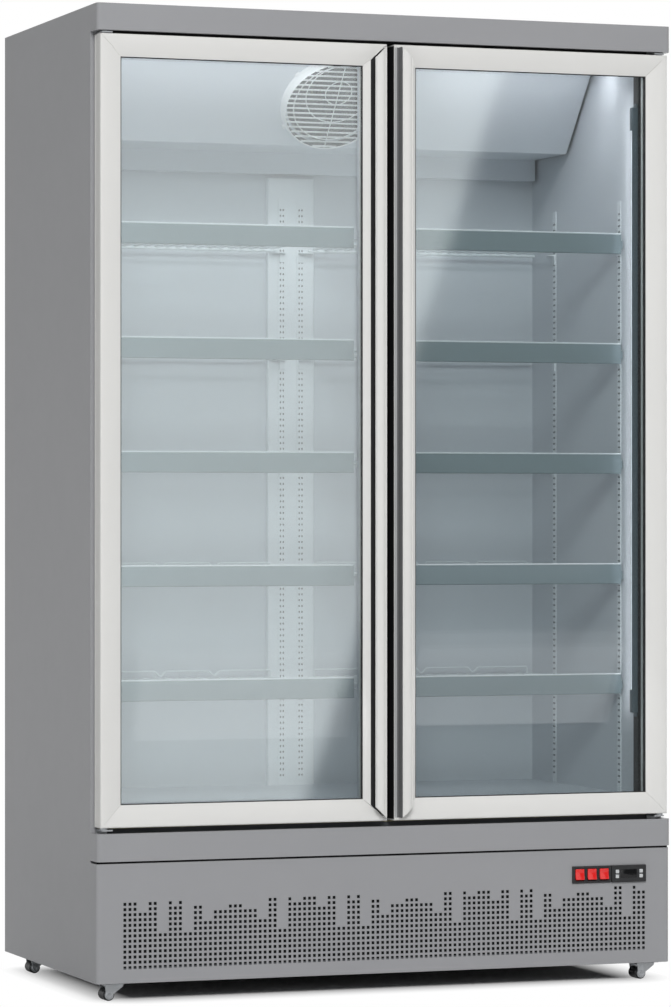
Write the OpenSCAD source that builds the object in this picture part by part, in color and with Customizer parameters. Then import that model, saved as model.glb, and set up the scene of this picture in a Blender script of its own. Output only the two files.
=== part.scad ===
// Two-door glass bottle cooler on casters, with an open-fronted insulated body,
// mitred glass doors, wire shelves, a fan evaporator in the roof and the
// refrigerating unit in a machine room under the floor.
// Millimetres. X to the viewer's right, the doors face -Y, Z up, floor at Z = 0.

/* [Cabinet] */
// Width over the side panels
cabinet_w = 1253; // [1150:1:1350]
// Height of the top panel above the floor
cabinet_h = 1997; // [1930:1:2060]
// Depth from the fascias' front face to the back panel
cabinet_d = 683; // [660:1:720]
// Thickness of the painted outer sheet
sheet_t = 1; // [0.8:0.1:1.2]
// Thickness of each insulated side wall with its liner
side_wall = 50; // [46:1:56]
// Thickness of the insulated back wall with its liner
back_wall = 55; // [45:1:70]
// Thickness of the insulated roof with its liner
roof_wall = 50; // [40:1:60]
// Thickness of the insulated floor with its liner
floor_wall = 40; // [34:1:50]
// Thickness of the inner liner
liner_t = 1; // [0.8:0.1:1.5]
// Height of the machine room, from the base pan to the insulated floor
machine_h = 307; // [300:1:320]
// Depth of the front beam over the door opening
lintel_d = 40; // [32:1:50]
// Drop from the ceiling to the top of the door opening
lintel_h = 44; // [40:1:48]

/* [Fascias] */
// Depth of the fascias in front of the side panels
fascia_d = 47; // [44:1:52]
// Height of the top fascia
header_h = 54; // [50:1:60]
// Height of the lower fascia
lower_h = 56; // [50:1:60]
// Radius of the fascias' upright corners
corner_r = 9; // [6:0.5:12]
// Gap between the top fascia and the doors
gap_top = 6.5; // [5.5:0.1:8]
// Gap between the doors and the lower fascia
gap_low = 11.5; // [10:0.1:13]
// Gap between the lower fascia and the grille panel
gap_fascia = 4.5; // [3:0.1:6]
// Set-back of the grille panel behind the fascias
grille_back = 4.5; // [2:0.1:6]
// Width of the folded edges on the fascias
fascia_lip = 12; // [8:1:16]

/* [Grille] */
// Side of each square opening
hole = 6.2; // [5:0.1:7]
// Pitch of the openings, both ways
hole_pitch = 10.6; // [9.5:0.1:11]
// Number of columns in one run of the stepped pattern, which repeats three times
run_columns = 36; // [30:1:36]
// Height of the lowest row's middle above the floor
hole_z = 68; // [60:1:76]
// Thickness of the flat bars behind the slots
bar_t = 0.8; // [0.6:0.1:1.2]

/* [Doors] */
// Set-back of the doors from the cabinet's sides
door_inset = 7; // [5:0.5:9]
// Gap between the two doors
door_split = 15; // [12:0.5:18]
// Thickness of a door frame
door_t = 42; // [40:0.5:44]
// Width of the frame's rails and hinge stile
rail_w = 45; // [40:1:50]
// Width of the handle stile
handle_stile_w = 50; // [48:1:56]
// Fall of the frame's curved front towards the glass
front_fall = 9; // [6:0.5:10]
// Radius of the frame's outer front edge
edge_r = 3; // [2:0.5:4]
// Thickness of each glass pane
pane_t = 4; // [3:0.5:5]
// Space between the two panes
pane_gap = 12; // [9:0.5:14]
// Depth by which the frame holds the glass
glass_hold = 12; // [8:0.5:14]
// Width of the spacer between the panes
spacer_w = 10; // [7:0.5:12]
// Width of the door gasket
gasket_w = 12; // [8:0.5:14]
// Set-back of the gasket from the door's edge
gasket_in = 14; // [12.5:0.5:16]
// Running clearance between parts that move past each other
clear = 0.3; // [0.25:0.05:0.5]
// Diameter of the hinge pins
pin_d = 8; // [6:0.5:9]
// Length of the hinge pins inside the doors
pin_l = 18; // [14:1:22]
// Radial clearance of each pin, axle and shaft in its bore
fit = 0.05; // [0.02:0.01:0.09]
// Distance of the hinge axis from the door's outer side
hinge_in = 12; // [10:0.5:12]
// Distance of the hinge axis behind the door's front
hinge_back = 16; // [14:0.5:18]

/* [Handles] */
// Distance of the handle from the door's meeting edge
handle_in = 10; // [8:0.5:12]
// Distance that the handle stands in front of the doors
handle_out = 27; // [24:0.5:30]
// Width of the handle's front lip
lip_w = 26.4; // [22:0.1:30]
// Thickness of the handle's walls
handle_t = 3; // [2.5:0.5:4]
// Distance of the handle's mitred ends from the door's top and bottom
handle_end = 12; // [10:1:20]
// Thickness of the ribbed grip strip on the handle's side
strip_t = 1.2; // [1:0.1:1.5]

/* [Shelves] */
// Number of shelves behind each door
shelf_count = 5; // [4:1:5]
// Height of the lowest shelf's front rail above the room's floor, at its top edge
shelf_rise = 254.5; // [230:0.5:280]
// Distance from the top shelf's front rail up to the cooler cover
top_bay = 191; // [170:1:230]
// Height of the front rail
shelf_rail_h = 44; // [40:1:50]
// Thickness of the rail's sheet
shelf_rail_t = 1.5; // [1:0.1:2]
// Distance from the rail's top edge down to the wires' top
grid_drop = 16; // [12:1:20]
// Diameter of the long wires
wire_d = 4; // [3:0.1:5]
// Diameter of the cross wires
cross_d = 6; // [5:0.1:7]
// Pitch of the long wires
wire_pitch = 24; // [22:0.5:30]
// Height of the back stop above the wires
stop_h = 17; // [12:1:20]
// Distance between the notches of the back stop
notch_pitch = 122; // [110:1:130]
// Front edge of the shelves, behind the body's front face
shelf_setback = 78; // [72:1:90]
// Gap between the shelves and the liner's back wall
shelf_back_gap = 21; // [19:1:40]
// Gap between a shelf and the liner's side wall
shelf_side_gap = 7; // [5:0.5:9]
// Half of the gap between the left and the right shelves
shelf_mid_gap = 34; // [30:0.5:36]
// Width of the slotted shelf standards
standard_w = 17; // [15:0.5:20]
// Thickness of the slotted standards
standard_t = 1.5; // [1:0.1:2]
// Pitch of the slots in the standards
slot_pitch = 25.4; // [20:0.1:30]
// Distance from the slotted standards' top up to the cooler cover
standard_gap = 121.5; // [100:0.5:140]

/* [Evaporator] */
// Drop from the ceiling to the cooler cover's underside
cover_drop = 185.5; // [180:0.5:200]
// Distance of the slope's foot from the liner's back wall
slope_back = 206; // [190:1:220]
// Run of the sloped front, from front to back
slope_run = 154; // [140:1:160]
// Rise of the sloped front
slope_rise = 184; // [176:1:185]
// Thickness of the cover's sheet
cover_t = 1.2; // [1:0.1:1.5]
// Gap at each side of the cover
cover_gap = 6.5; // [4:0.5:8]
// Height of the step at the back of the cover
duct_h = 46; // [40:1:50]
// Depth of the step at the back of the cover
duct_d = 31; // [26:1:36]
// Radius of the fan opening
fan_r = 100; // [90:1:102]
// Height of the fan guard over the cover
guard_h = 20; // [16:1:24]
// Number of slats in the fan guard
slat_count = 18; // [14:1:20]
// Number of cooling fins in each heat exchanger
fin_count = 24; // [16:1:28]

/* [Controls] */
// Distance of the control cluster's middle from the cabinet's middle
control_x = 487.5; // [470:0.5:495]
// Height of the control cluster's middle
control_z = 225; // [222:0.5:228]
// Height of the control cluster
control_h = 35.5; // [34:0.5:38]
// Width of one switch cell
cell_w = 27.5; // [26:0.5:28]
// Width of a rocker
rocker_w = 19.5; // [18:0.5:20]
// Height of a rocker
rocker_h = 23.6; // [22:0.1:24]
// Angle between a rocker's two positions
rocker_swing = 14; // [10:1:14]
// Width of the temperature controller's front
thermostat_w = 78; // [74:0.5:80]
// Side of the controller's square buttons
button_w = 7.5; // [6:0.5:8]
// Travel of the buttons
button_travel = 1; // [0.6:0.1:1.2]

/* [Casters] */
// Height of the cabinet above the floor, which the casters fill
caster_h = 37; // [36:0.5:40]
// Diameter of the caster rollers
wheel_d = 24; // [22:0.5:25]
// Length of the caster rollers
wheel_w = 38; // [30:1:40]
// Distance of the axle from the swivel's axis
trail = 10; // [6:0.5:12]
// Thickness of a caster's mounting plate
plate_t = 3; // [2:0.5:3]
// Distance of the swivel axes from the cabinet's sides
caster_in = 44; // [40:1:60]
// Distance of the front swivel axes behind the fascias' front
caster_front = 50; // [45:1:60]
// Distance of the rear swivel axes from the back panel
caster_rear = 95; // [70:1:110]
// Diameter of the swivel pins
king_d = 8; // [6:0.5:10]
// Diameter of the roller axles
axle_d = 5; // [4:0.5:6]

/* [Refrigeration] */
// Radius of the compressor's shell
compressor_r = 82; // [70:1:88]
// Height of the compressor's shell
compressor_h = 190; // [160:1:200]
// Radius of the condenser's fan opening
condenser_fan_r = 105; // [90:1:110]
// Length of the condensing coil
condenser_l = 360; // [320:1:380]
// Outer diameter of the suction pipe
suction_d = 12; // [9:0.5:13]
// Outer diameter of the discharge and liquid pipes
liquid_d = 8; // [6:0.5:9]
// Depth of the drip tray
tray_h = 45; // [35:1:60]

/* [Hidden] */
// The overall box, centred on the origin
half_w = cabinet_w / 2;
half_d = (cabinet_d + handle_out) / 2;
back_y = half_d;
front_y = back_y - cabinet_d;
body_y = front_y + fascia_d;
pan_z = caster_h;
body_z = pan_z + machine_h;
floor_z = body_z + floor_wall;
ceiling_z = cabinet_h - roof_wall;
header_z = cabinet_h - header_h;
// The room inside the liner
room_x = half_w - side_wall;
room_y = back_y - back_wall;
cover_z = ceiling_z - cover_drop;
lintel_y = body_y + lintel_d;
mouth_z = ceiling_z - lintel_h;
// The stepped pattern: openings in each column of one run, counted up from the lowest row
steps = [13, 13, 13, 11, 11, 13, 13, 7, 7, 13, 12, 13, 7, 7, 12, 12, 9, 9,
         11, 11, 11, 12, 12, 12, 11, 11, 11, 9, 9, 13, 13, 7, 7, 13, 12, 12];
columns = 3 * run_columns;
// The doors between the fascias
grille_y = front_y + grille_back;
door_top = header_z - gap_top;
grille_h = door_bottom() - gap_low - lower_h - gap_fascia - pan_z;
lower_z = pan_z + grille_h + gap_fascia;
door_w = half_w - door_inset - door_split / 2;
door_z = door_bottom();
door_h = door_top - door_z;
hinge_x = half_w - door_inset - hinge_in;
hinge_y = front_y + hinge_back;
// The glass pocket in a door frame, measured back from the door's front
front_lip = 3;
pane_y = front_fall + front_lip;
glazing_t = 2 * pane_t + pane_gap;
pocket_in = 2;
glass_left = handle_stile_w - glass_hold;
glass_right = rail_w - glass_hold;
// The black frame round the opening
throat_flange = 36;
throat_lip = 2;
throat_lip_d = 24;
return_w = half_w - sheet_t - (room_x + throat_flange) - clear;
post_w = 70;
post_d = 60;
// The lamps beside the opening
lamp_w = 13.5;
lamp_d = 17;
lamp_z = floor_z + 165;
lamp_h = mouth_z - 64 - lamp_z;
lamp_cap_h = 57;
// The slotted standards
standard_front_y = body_y + 102;
standard_rear_y = room_y - 128;
standard_x = 21.6;
spine_x = 53.5;
spine_t = 15;
standard_h = cover_z - standard_gap - floor_z;
spine_h = cover_z - duct_h - 8.5 - floor_z;
slot_w = 4;
slot_h = 12;
// The shelves
shelf_y = body_y + shelf_setback;
shelf_d = room_y - shelf_back_gap - shelf_y;
shelf_first = floor_z + shelf_rise;
shelf_pitch = (cover_z - top_bay - shelf_first) / (shelf_count - 1);
shelf_out = room_x - shelf_side_gap;
flat8 = cos(22.5);
weld = 0.3;
seat = 0.05;
stop_t = 2.5;
cross_in = 24;
under_grid = grid_drop + (wire_d + cross_d) * flat8 - weld + seat;
post_clip_y = body_y + post_d + standard_t + seat;
clip_h = 22;
clip_w = 12;
clip_l = 18;
clip_t = 2.5;
// The cooler under the roof
slope_foot_y = room_y - slope_back;
slope_angle = atan2(slope_rise, slope_run);
slope_len = norm([slope_run, slope_rise]);
fan_up = slope_len / 2 - 4;
guard_wall = 11;
slat_w = 4;
motor_r = 31;
motor_h = 42;
shaft_d = 6;
// The controls
cluster_w = 3 * cell_w + 6 + thermostat_w;
bezel_t = 4;
bezel_l = control_x - cluster_w / 2;
bezel_r = bezel_l + 3 * cell_w + 6;
housing_d = 22;
housing_h = control_h - 6;
thermostat_body_w = thermostat_w - 7;
rocker_clear = 1;
rocker_y = grille_y + 2;
rocker_pin_d = 3;
rocker_pin_l = 2.5;
thermostat_x = bezel_r + thermostat_w / 2;
thermostat_t = 6;
button_dx = 27;
button_dz = 5.05;
button_out = 1.5;
button_back = button_travel + 0.5;
button_t = 4;
// The casters
axle_z = wheel_d / 2;
disc_r = 17;
disc_t = 2.5;
fork_t = 2;
fork_gap = 0.4;
fork_top = pan_z - plate_t - clear;
caster_places = [
    for (y = [front_y + caster_front, back_y - caster_rear], s = [-1, 1])
        [s * (half_w - caster_in), y]];
// The machine room
condenser_x = -250;
condenser_y = front_y + 78;
condenser_t = 66;
condenser_z = pan_z + 42;
condenser_h = 240;
shroud_t = 30;
compressor_x = 330;
compressor_y = back_y - 165;
compressor_z = pan_z + 26;
tray_x0 = -460;
tray_x1 = -120;
tray_y0 = back_y - 295;
tray_y1 = back_y - 55;
tube_d = 9.5;
coil_l = 820;
coil_d = 60;
coil_h = 150;
coil_y = room_y - slope_back + 70;
coil_z = cover_z + cover_t + 2;
coil_tubes = 5;
condenser_tubes = 6;
duct_x = half_w - 56.5;
duct_y = back_y - 28;
duct_r = 13;

shelf_sides = ["left", "right"];
caster_names = ["front_left", "front_right", "rear_left", "rear_right"];
button_names = ["set", "up", "down", "defrost"];

// The doors' lower edge, over the room's floor by the same margin as the opening's lip
function door_bottom() = floor_z - 35.5;

// Points of a path moved sideways by d, with mitred corners
function unit(v) = v / norm(v);
function left_of(v) = [-v[1], v[0]];
function mitre(a, b) = (left_of(a) + left_of(b)) / (1 + a * b);
function shifted(path, d) = let (n = len(path) - 1) [for (i = [0:n])
    let (a = unit(path[max(i, 1)] - path[max(i, 1) - 1]),
         b = unit(path[min(i + 1, n)] - path[min(i + 1, n) - 1]))
    path[i] + d * mitre(i == 0 ? b : a, i == n ? a : b)];
function reversed(list) = [for (i = [len(list) - 1:-1:0]) list[i]];

// A strip of thickness t on the left of a path
module strip2(path, t) {
    polygon(concat(path, reversed(shifted(path, t))));
}

// A block between two corners
module block(low, high) {
    translate(low) cube(high - low);
}

// A rectangle with rounded corners between two corners
module round_rect(low, high, r) {
    translate(low + [r, 0]) square([high[0] - low[0] - 2 * r, high[1] - low[1]]);
    translate(low + [0, r]) square([high[0] - low[0], high[1] - low[1] - 2 * r]);
    for (x = [low[0] + r, high[0] - r], y = [low[1] + r, high[1] - r])
        translate([x, y]) circle(r, $fn = 32);
}

// Round bars along each axis, from a starting point
module bar_x(from, l, d, n = 32) {
    translate(from) rotate([0, 90, 0]) rotate([0, 0, 180 / n]) cylinder(d = d, h = l, $fn = n);
}
module bar_y(from, l, d, n = 32) {
    translate(from) rotate([-90, 0, 0]) rotate([0, 0, 180 / n]) cylinder(d = d, h = l, $fn = n);
}
module bar_z(from, l, d, n = 32) {
    translate(from) cylinder(d = d, h = l, $fn = n);
}

// A profile drawn in Y and Z, extruded along X
module along_x(from, to) {
    translate([from, 0, 0]) rotate([90, 0, 90]) linear_extrude(to - from) children();
}

// A profile drawn in X and Z, extruded along Y
module along_y(from, to) {
    translate([0, to, 0]) rotate([90, 0, 0]) linear_extrude(to - from) children();
}

// A pipe along a path that turns square corners, bent at each corner to 0.9 of its diameter
module pipe(path, d) {
    bend = 0.9 * d;
    last = len(path) - 1;
    for (i = [0:last - 1]) {
        way = unit(path[i + 1] - path[i]);
        l = norm(path[i + 1] - path[i]) - (i > 0 ? bend : 0) - (i < last - 1 ? bend : 0);
        translate(path[i] + way * (i > 0 ? bend : 0))
            rotate([0, acos(way[2]), atan2(way[1], way[0])])
            cylinder(d = d, h = l, $fn = 24);
    }
    if (last > 1)
        for (i = [1:last - 1]) {
            a = unit(path[i] - path[i - 1]);
            b = unit(path[i + 1] - path[i]);
            centre = path[i] + bend * (b - a);
            up = cross(a, b);
            multmatrix([[-b[0], a[0], up[0], centre[0]], [-b[1], a[1], up[1], centre[1]],
                        [-b[2], a[2], up[2], centre[2]], [0, 0, 0, 1]])
                rotate_extrude(angle = 90, $fn = 64) translate([bend, 0]) circle(d = d, $fn = 24);
        }
}

// Both sides of the cabinet
module both_sides() {
    children();
    mirror([1, 0, 0]) children();
}

// The body

module side_panel() {
    color("#8f9093") {
        block([half_w - sheet_t, body_y, pan_z], [half_w, back_y, cabinet_h]);
        block([half_w - sheet_t - return_w, body_y, pan_z],
              [half_w - sheet_t / 2, body_y + sheet_t, cabinet_h - sheet_t]);
    }
}

module side_panel_right() {
    side_panel();
}

module side_panel_left() {
    mirror([1, 0, 0]) side_panel();
}

// The back sheet has air slots where it covers the machine room
module back_panel() {
    slots = 26;
    slot_l = 150;
    gland_d = 22;
    color("#8f9093")
    along_y(back_y - sheet_t, back_y) difference() {
        translate([sheet_t - half_w, pan_z + 2])
            square([cabinet_w - 2 * sheet_t, cabinet_h - pan_z - 2 - sheet_t]);
        for (i = [0:slots - 1])
            translate([(i - (slots - 1) / 2) * 34 - 40, pan_z + 70]) square([9, slot_l]);
        translate([half_w - 90, pan_z + 60]) circle(d = gland_d, $fn = 48);
    }
    // The mains cable's gland, without its cable
    color("#1c1d1f")
    translate([half_w - 90, 0, pan_z + 60]) rotate([90, 0, 0]) difference() {
        union() {
            translate([0, 0, -back_y]) cylinder(d = gland_d, h = 16, $fn = 48);
            translate([0, 0, sheet_t - back_y]) cylinder(d = gland_d + 8, h = 4, $fn = 48);
        }
        translate([0, 0, -back_y - 1]) cylinder(d = 9, h = 20, $fn = 32);
    }
}

module top_panel() {
    color("#8f9093")
    block([sheet_t - half_w, body_y, cabinet_h - sheet_t],
          [half_w - sheet_t, back_y - sheet_t, cabinet_h]);
}

// The room's hollow, grown by g on every wall; the door opening is lower than the ceiling
module room(g) {
    block([-room_x - g, lintel_y - g, floor_z - g], [room_x + g, room_y + g, ceiling_z + g]);
    block([-room_x - g, body_y - 1, floor_z - g], [room_x + g, lintel_y, mouth_z + g]);
}

// The upright duct in the foam that the pipes run in
module pipe_duct(g) {
    bar_z([duct_x, duct_y, body_z - 1], cover_z + 60 - body_z, 2 * (duct_r + g));
}

module duct_mouth() {
    block([duct_x - 54, room_y - 2, cover_z + 8], [duct_x + duct_r, duct_y + duct_r, cover_z + 60]);
}

module insulation() {
    color("#e8dfae")
    difference() {
        block([sheet_t - half_w, body_y + sheet_t, body_z],
              [half_w - sheet_t, back_y - sheet_t, cabinet_h - sheet_t]);
        room(liner_t);
        pipe_duct(0);
        duct_mouth();
    }
}

module inner_liner() {
    color("#dfe5ea")
    difference() {
        intersection() {
            room(liner_t);
            block([-half_w, body_y + sheet_t, 0], [half_w, back_y, cabinet_h]);
        }
        room(0);
        intersection() {
            duct_mouth();
            block([0, room_y - 3, cover_z], [room_x - 10, back_y, ceiling_z]);
        }
    }
}

// The fascias: a bent sheet with rounded upright corners, folded in at the top and the bottom

module fascia_plan(grow) {
    difference() {
        round_rect([-half_w + grow, front_y + grow], [half_w - grow, body_y + 40], corner_r - grow);
        translate([-half_w, body_y]) square([cabinet_w, 60]);
    }
}

module fascia(z, h, top_lip) {
    difference() {
        translate([0, 0, z]) linear_extrude(h) fascia_plan(0);
        translate([0, 0, z + sheet_t]) linear_extrude(h - 2 * sheet_t) fascia_plan(sheet_t);
        block([-half_w + fascia_lip, front_y + fascia_lip, z - 1],
              [half_w - fascia_lip, body_y + 1, z + h - (top_lip ? -1 : sheet_t)]);
    }
}

module header_fascia() {
    color("#96979a") fascia(header_z, header_h, false);
}

module lower_fascia() {
    color("#96979a") fascia(lower_z, lower_h, true);
}

// The grille panel: the stepped field of square openings is cut as upright slots,
// and flat bars behind the sheet part each slot into squares

function rows(c) = steps[c % run_columns];
function column_x(c) = (c - (columns - 1) / 2) * hole_pitch;

module grille_panel() {
    color("#96979a") {
        difference() {
            translate([0, grille_back, 0]) difference() {
                translate([0, 0, pan_z]) linear_extrude(grille_h) fascia_plan(0);
                translate([0, 0, pan_z - 1]) linear_extrude(grille_h - sheet_t + 1)
                    fascia_plan(sheet_t);
            }
            block([-half_w - 1, body_y, pan_z - 1], [half_w + 1, body_y + 60, pan_z + grille_h + 1]);
            block([-half_w + fascia_lip, grille_y + fascia_lip, pan_z + grille_h - sheet_t - 1],
                  [half_w - fascia_lip, body_y + 1, pan_z + grille_h + 1]);
            along_y(grille_y - 1, grille_y + sheet_t + 1) {
                for (c = [0:columns - 1])
                    translate([column_x(c) - hole / 2, hole_z - hole / 2])
                        square([hole, (rows(c) - 1) * hole_pitch + hole]);
                // The cut-outs for the switches and the temperature controller
                translate([bezel_l + 3 - fit, control_z - housing_h / 2 - fit])
                    square([3 * cell_w + 2 * fit, housing_h + 2 * fit]);
                translate([thermostat_x - thermostat_body_w / 2 - fit,
                           control_z - housing_h / 2 - fit])
                    square([thermostat_body_w + 2 * fit, housing_h + 2 * fit]);
            }
        }
        // The bars run behind the sheet from one end strip to the other
        translate([column_x(0) - hole_pitch, 0, hole_z]) {
            l = columns * hole_pitch + hole_pitch;
            for (r = [0:max(steps) - 2])
                translate([-1, grille_y + sheet_t + clear, hole / 2 + r * hole_pitch])
                    cube([l + 2, bar_t, hole_pitch - hole]);
            for (x = [-hole_pitch, l])
                translate([x, grille_y + sheet_t / 2, 0])
                    cube([hole_pitch, sheet_t / 2 + clear + bar_t, max(steps) * hole_pitch]);
        }
    }
}

module centre_post() {
    color("#d5dade")
    translate([0, 0, floor_z]) linear_extrude(mouth_z - floor_z) difference() {
        round_rect([-post_w / 2, body_y + sheet_t], [post_w / 2, body_y + post_d], 5);
        round_rect([-post_w / 2 + 2, body_y + sheet_t + 2], [post_w / 2 - 2, body_y + post_d - 2], 3);
    }
}

// The black frame that the doors seal against, with its lip and its middle strip
module throat_frame() {
    color("#1b1c1e")
    difference() {
        union() {
            block([-room_x - throat_flange, body_y, body_z + 2],
                  [room_x + throat_flange, body_y + sheet_t, header_z + 8]);
            block([-room_x, body_y, floor_z], [room_x, body_y + sheet_t + throat_lip_d, mouth_z]);
        }
        for (side = [0, 1]) mirror([side, 0, 0])
            block([post_w / 2 - 2, body_y - 1, floor_z + throat_lip],
                  [room_x - throat_lip, body_y + 60, mouth_z - throat_lip]);
        block([-post_w / 2 - clear, body_y + sheet_t, floor_z - 1],
              [post_w / 2 + clear, body_y + 60, mouth_z + 1]);
    }
}

// Two LED bars, each with an aluminium back and long end caps
module lamps() {
    both_sides() {
        x = room_x - throat_lip;
        y = body_y + sheet_t;
        color("#c9cdd1") block([x - 2, y, lamp_z], [x, y + lamp_d, lamp_z + lamp_h]);
        color("#f4f8ff")
        translate([0, 0, lamp_z + lamp_cap_h]) linear_extrude(lamp_h - 2 * lamp_cap_h)
            round_rect([x - lamp_w + 1, y + 2], [x - 2, y + lamp_d - 2], 4);
        color("#55595e")
        for (z = [lamp_z, lamp_z + lamp_h - lamp_cap_h])
            translate([0, 0, z]) linear_extrude(lamp_cap_h)
                round_rect([x - lamp_w, y], [x - 2, y + lamp_d], 3);
    }
}

// The base: a pan with turned-up edges, two caster channels, corner posts and a front rail
module base_frame() {
    edge = 30;
    x = half_w - sheet_t;
    y0 = grille_y + sheet_t + 3;
    y1 = back_y - sheet_t;
    post = 28;
    color("#5c5f63") {
        difference() {
            block([-x, y0, pan_z], [x, y1, pan_z + edge]);
            block([2 - x, y0 + 2, pan_z + 2], [x - 2, y1 - 2, pan_z + edge + 1]);
            // The grille panel's ends and the side panels' returns pass in front
            for (s = [-1, 1])
                block([s * x - return_w - clear, y0 - 1, pan_z - 1],
                      [s * x + return_w + clear, body_y + 2, pan_z + edge + 1]);
            for (p = caster_places) bar_z([p[0], p[1], pan_z - 1], 4, king_d + 2 * fit);
        }
        for (s = [0, 1], y = [body_y + sheet_t, y1 - post]) mirror([s, 0, 0]) difference() {
            block([x - post, y, pan_z + 2], [x - 2, y + post, body_z]);
            block([x - post - 1, y < 0 ? y + 2 : y - 1, pan_z + 1],
                  [x - 4, y < 0 ? y + post + 1 : y + post - 2, body_z + 1]);
        }
        // The rail under the insulated floor's front edge, which carries the lower hinges
        block([post - x, body_y + sheet_t, body_z - 44], [x - post, body_y + 3, body_z]);
        block([post - x, body_y + 3, body_z - 2], [x - post, body_y + 27, body_z]);
    }
}

// The slotted standards on the walls, on the back spine and on the centre post

module standard(h) {
    count = floor((h - 30) / slot_pitch);
    difference() {
        translate([-standard_w / 2, 0]) square([standard_w, h]);
        for (i = [0:count - 1])
            translate([-slot_w / 2, 20 + i * slot_pitch]) square([slot_w, slot_h]);
    }
}

module shelf_standards() {
    color("#cfd4d9") {
        both_sides() {
            for (y = [standard_front_y, standard_rear_y])
                translate([room_x - standard_t, y, floor_z])
                    rotate([90, 0, 90]) linear_extrude(standard_t) standard(standard_h);
            translate([0, 0, floor_z]) {
                along_y(room_y - spine_t - standard_t, room_y - spine_t)
                    translate([standard_x, 0]) standard(standard_h + 22);
                along_y(body_y + post_d, body_y + post_d + standard_t)
                    translate([standard_x, 0]) standard(standard_h);
            }
        }
        // The folded spine on the back wall
        translate([0, 0, floor_z]) linear_extrude(spine_h) strip2(
            [[-spine_x, room_y], [-spine_x, room_y - spine_t],
             [spine_x, room_y - spine_t], [spine_x, room_y]], 1.5);
        // The clips that hang in the slots, under the shelves' corners
        for (n = [1:shelf_count]) translate([0, 0, shelf_z(n) - under_grid]) both_sides() {
            for (y = [standard_front_y, standard_rear_y])
                translate([room_x - standard_t - seat, y, 0]) mirror([1, 0, 0]) clip(clip_l);
            translate([standard_x, room_y - spine_t - standard_t - seat, 0])
                rotate([0, 0, -90]) clip(clip_l, clip_l, 22);
            translate([standard_x, post_clip_y, 0])
                rotate([0, 0, 90]) clip(shelf_y + cross_in + clip_w / 2 - post_clip_y, clip_w, -22);
        }
    }
}

// A bent shelf clip: a foot on the standard and a level tongue of length l, whose last part,
// of length arm, reaches sideways under a shelf's cross wire
module clip(l, arm = 0, reach = 0) {
    rotate([90, 0, 0]) translate([0, 0, -clip_w / 2]) linear_extrude(clip_w)
        polygon([[0, 0], [l, 0], [l, -clip_t], [clip_t + 3, -clip_t],
                 [clip_t, -clip_t - 3], [clip_t, -clip_h], [0, -clip_h]]);
    if (reach != 0)
        block([l - arm, min(0, reach), -clip_t], [l, max(0, reach), 0]);
}

function shelf_z(n) = shelf_first + (n - 1) * shelf_pitch;

// A wire shelf: bent front rail, long wires on cross wires, and a notched back stop; each is a
// piece of its own, a seat's width from the next
module shelf(n) {
    top = shelf_z(n);
    x0 = shelf_mid_gap;
    x1 = shelf_out;
    y1 = shelf_y + shelf_d;
    wires = floor((x1 - x0 - 12) / wire_pitch);
    long_z = top - grid_drop - wire_d / 2 * flat8;
    cross_z = long_z - (wire_d + cross_d) / 2 * flat8 + weld;
    first_x = (x0 + x1 - (wires * wire_pitch)) / 2;
    color("#8b979d")
    along_x(x0, x1) strip2(
        [[shelf_y + 9, top], [shelf_y, top], [shelf_y, top - shelf_rail_h],
         [shelf_y + 9, top - shelf_rail_h]], shelf_rail_t);
    color("#e4e8ea") {
        for (i = [0:wires])
            bar_y([first_x + i * wire_pitch, shelf_y + shelf_rail_t + seat, long_z],
                  shelf_d - shelf_rail_t - seat, wire_d, 8);
        for (y = [shelf_y + cross_in, shelf_y + shelf_d / 2, y1 - 9])
            bar_x([x0, y, cross_z], x1 - x0, cross_d, 8);
        along_y(y1 - 1.5 - wire_d / 2, y1 - 1.5 + wire_d / 2)
            translate([0, top - grid_drop + seat])
            strip2(stop_path(first_x, first_x + wires * wire_pitch), stop_t);
    }
}

// The back stop's path: up from the wires at each end, with notches down to them
function stop_path(x0, x1) = let (
    notches = floor((x1 - x0 - 40) / notch_pitch),
    start = x0 + (x1 - x0 - (notches - 1) * notch_pitch) / 2,
    deep = stop_h - stop_t * sqrt(2),
    n = [for (i = [0:notches - 1]) let (x = start + i * notch_pitch)
        each [[x - deep, stop_h], [x, stop_h - deep], [x + deep, stop_h]]])
    reversed(concat([[x0, 0], [x0, stop_h]], n, [[x1, stop_h], [x1, 0]]));

// The cooler in the roof

// Places children on the slope: X across, Y up the slope, Z out of it to the front
module on_slope() {
    translate([0, slope_foot_y, cover_z]) rotate([180 - slope_angle, 0, 0]) mirror([1, 0, 0])
        children();
}

module evaporator_cover() {
    x = room_x - cover_gap;
    top_y = slope_foot_y - slope_run;
    color("#cdd3d9")
    difference() {
        along_x(-x, x) strip2(
            [[top_y - 20, cover_z + slope_rise], [top_y, cover_z + slope_rise],
             [slope_foot_y, cover_z], [room_y - duct_d, cover_z],
             [room_y - duct_d, cover_z - duct_h], [room_y, cover_z - duct_h]], cover_t);
        on_slope() translate([0, fan_up, -20]) cylinder(r = fan_r, h = 40, $fn = 96);
    }
}

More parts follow.
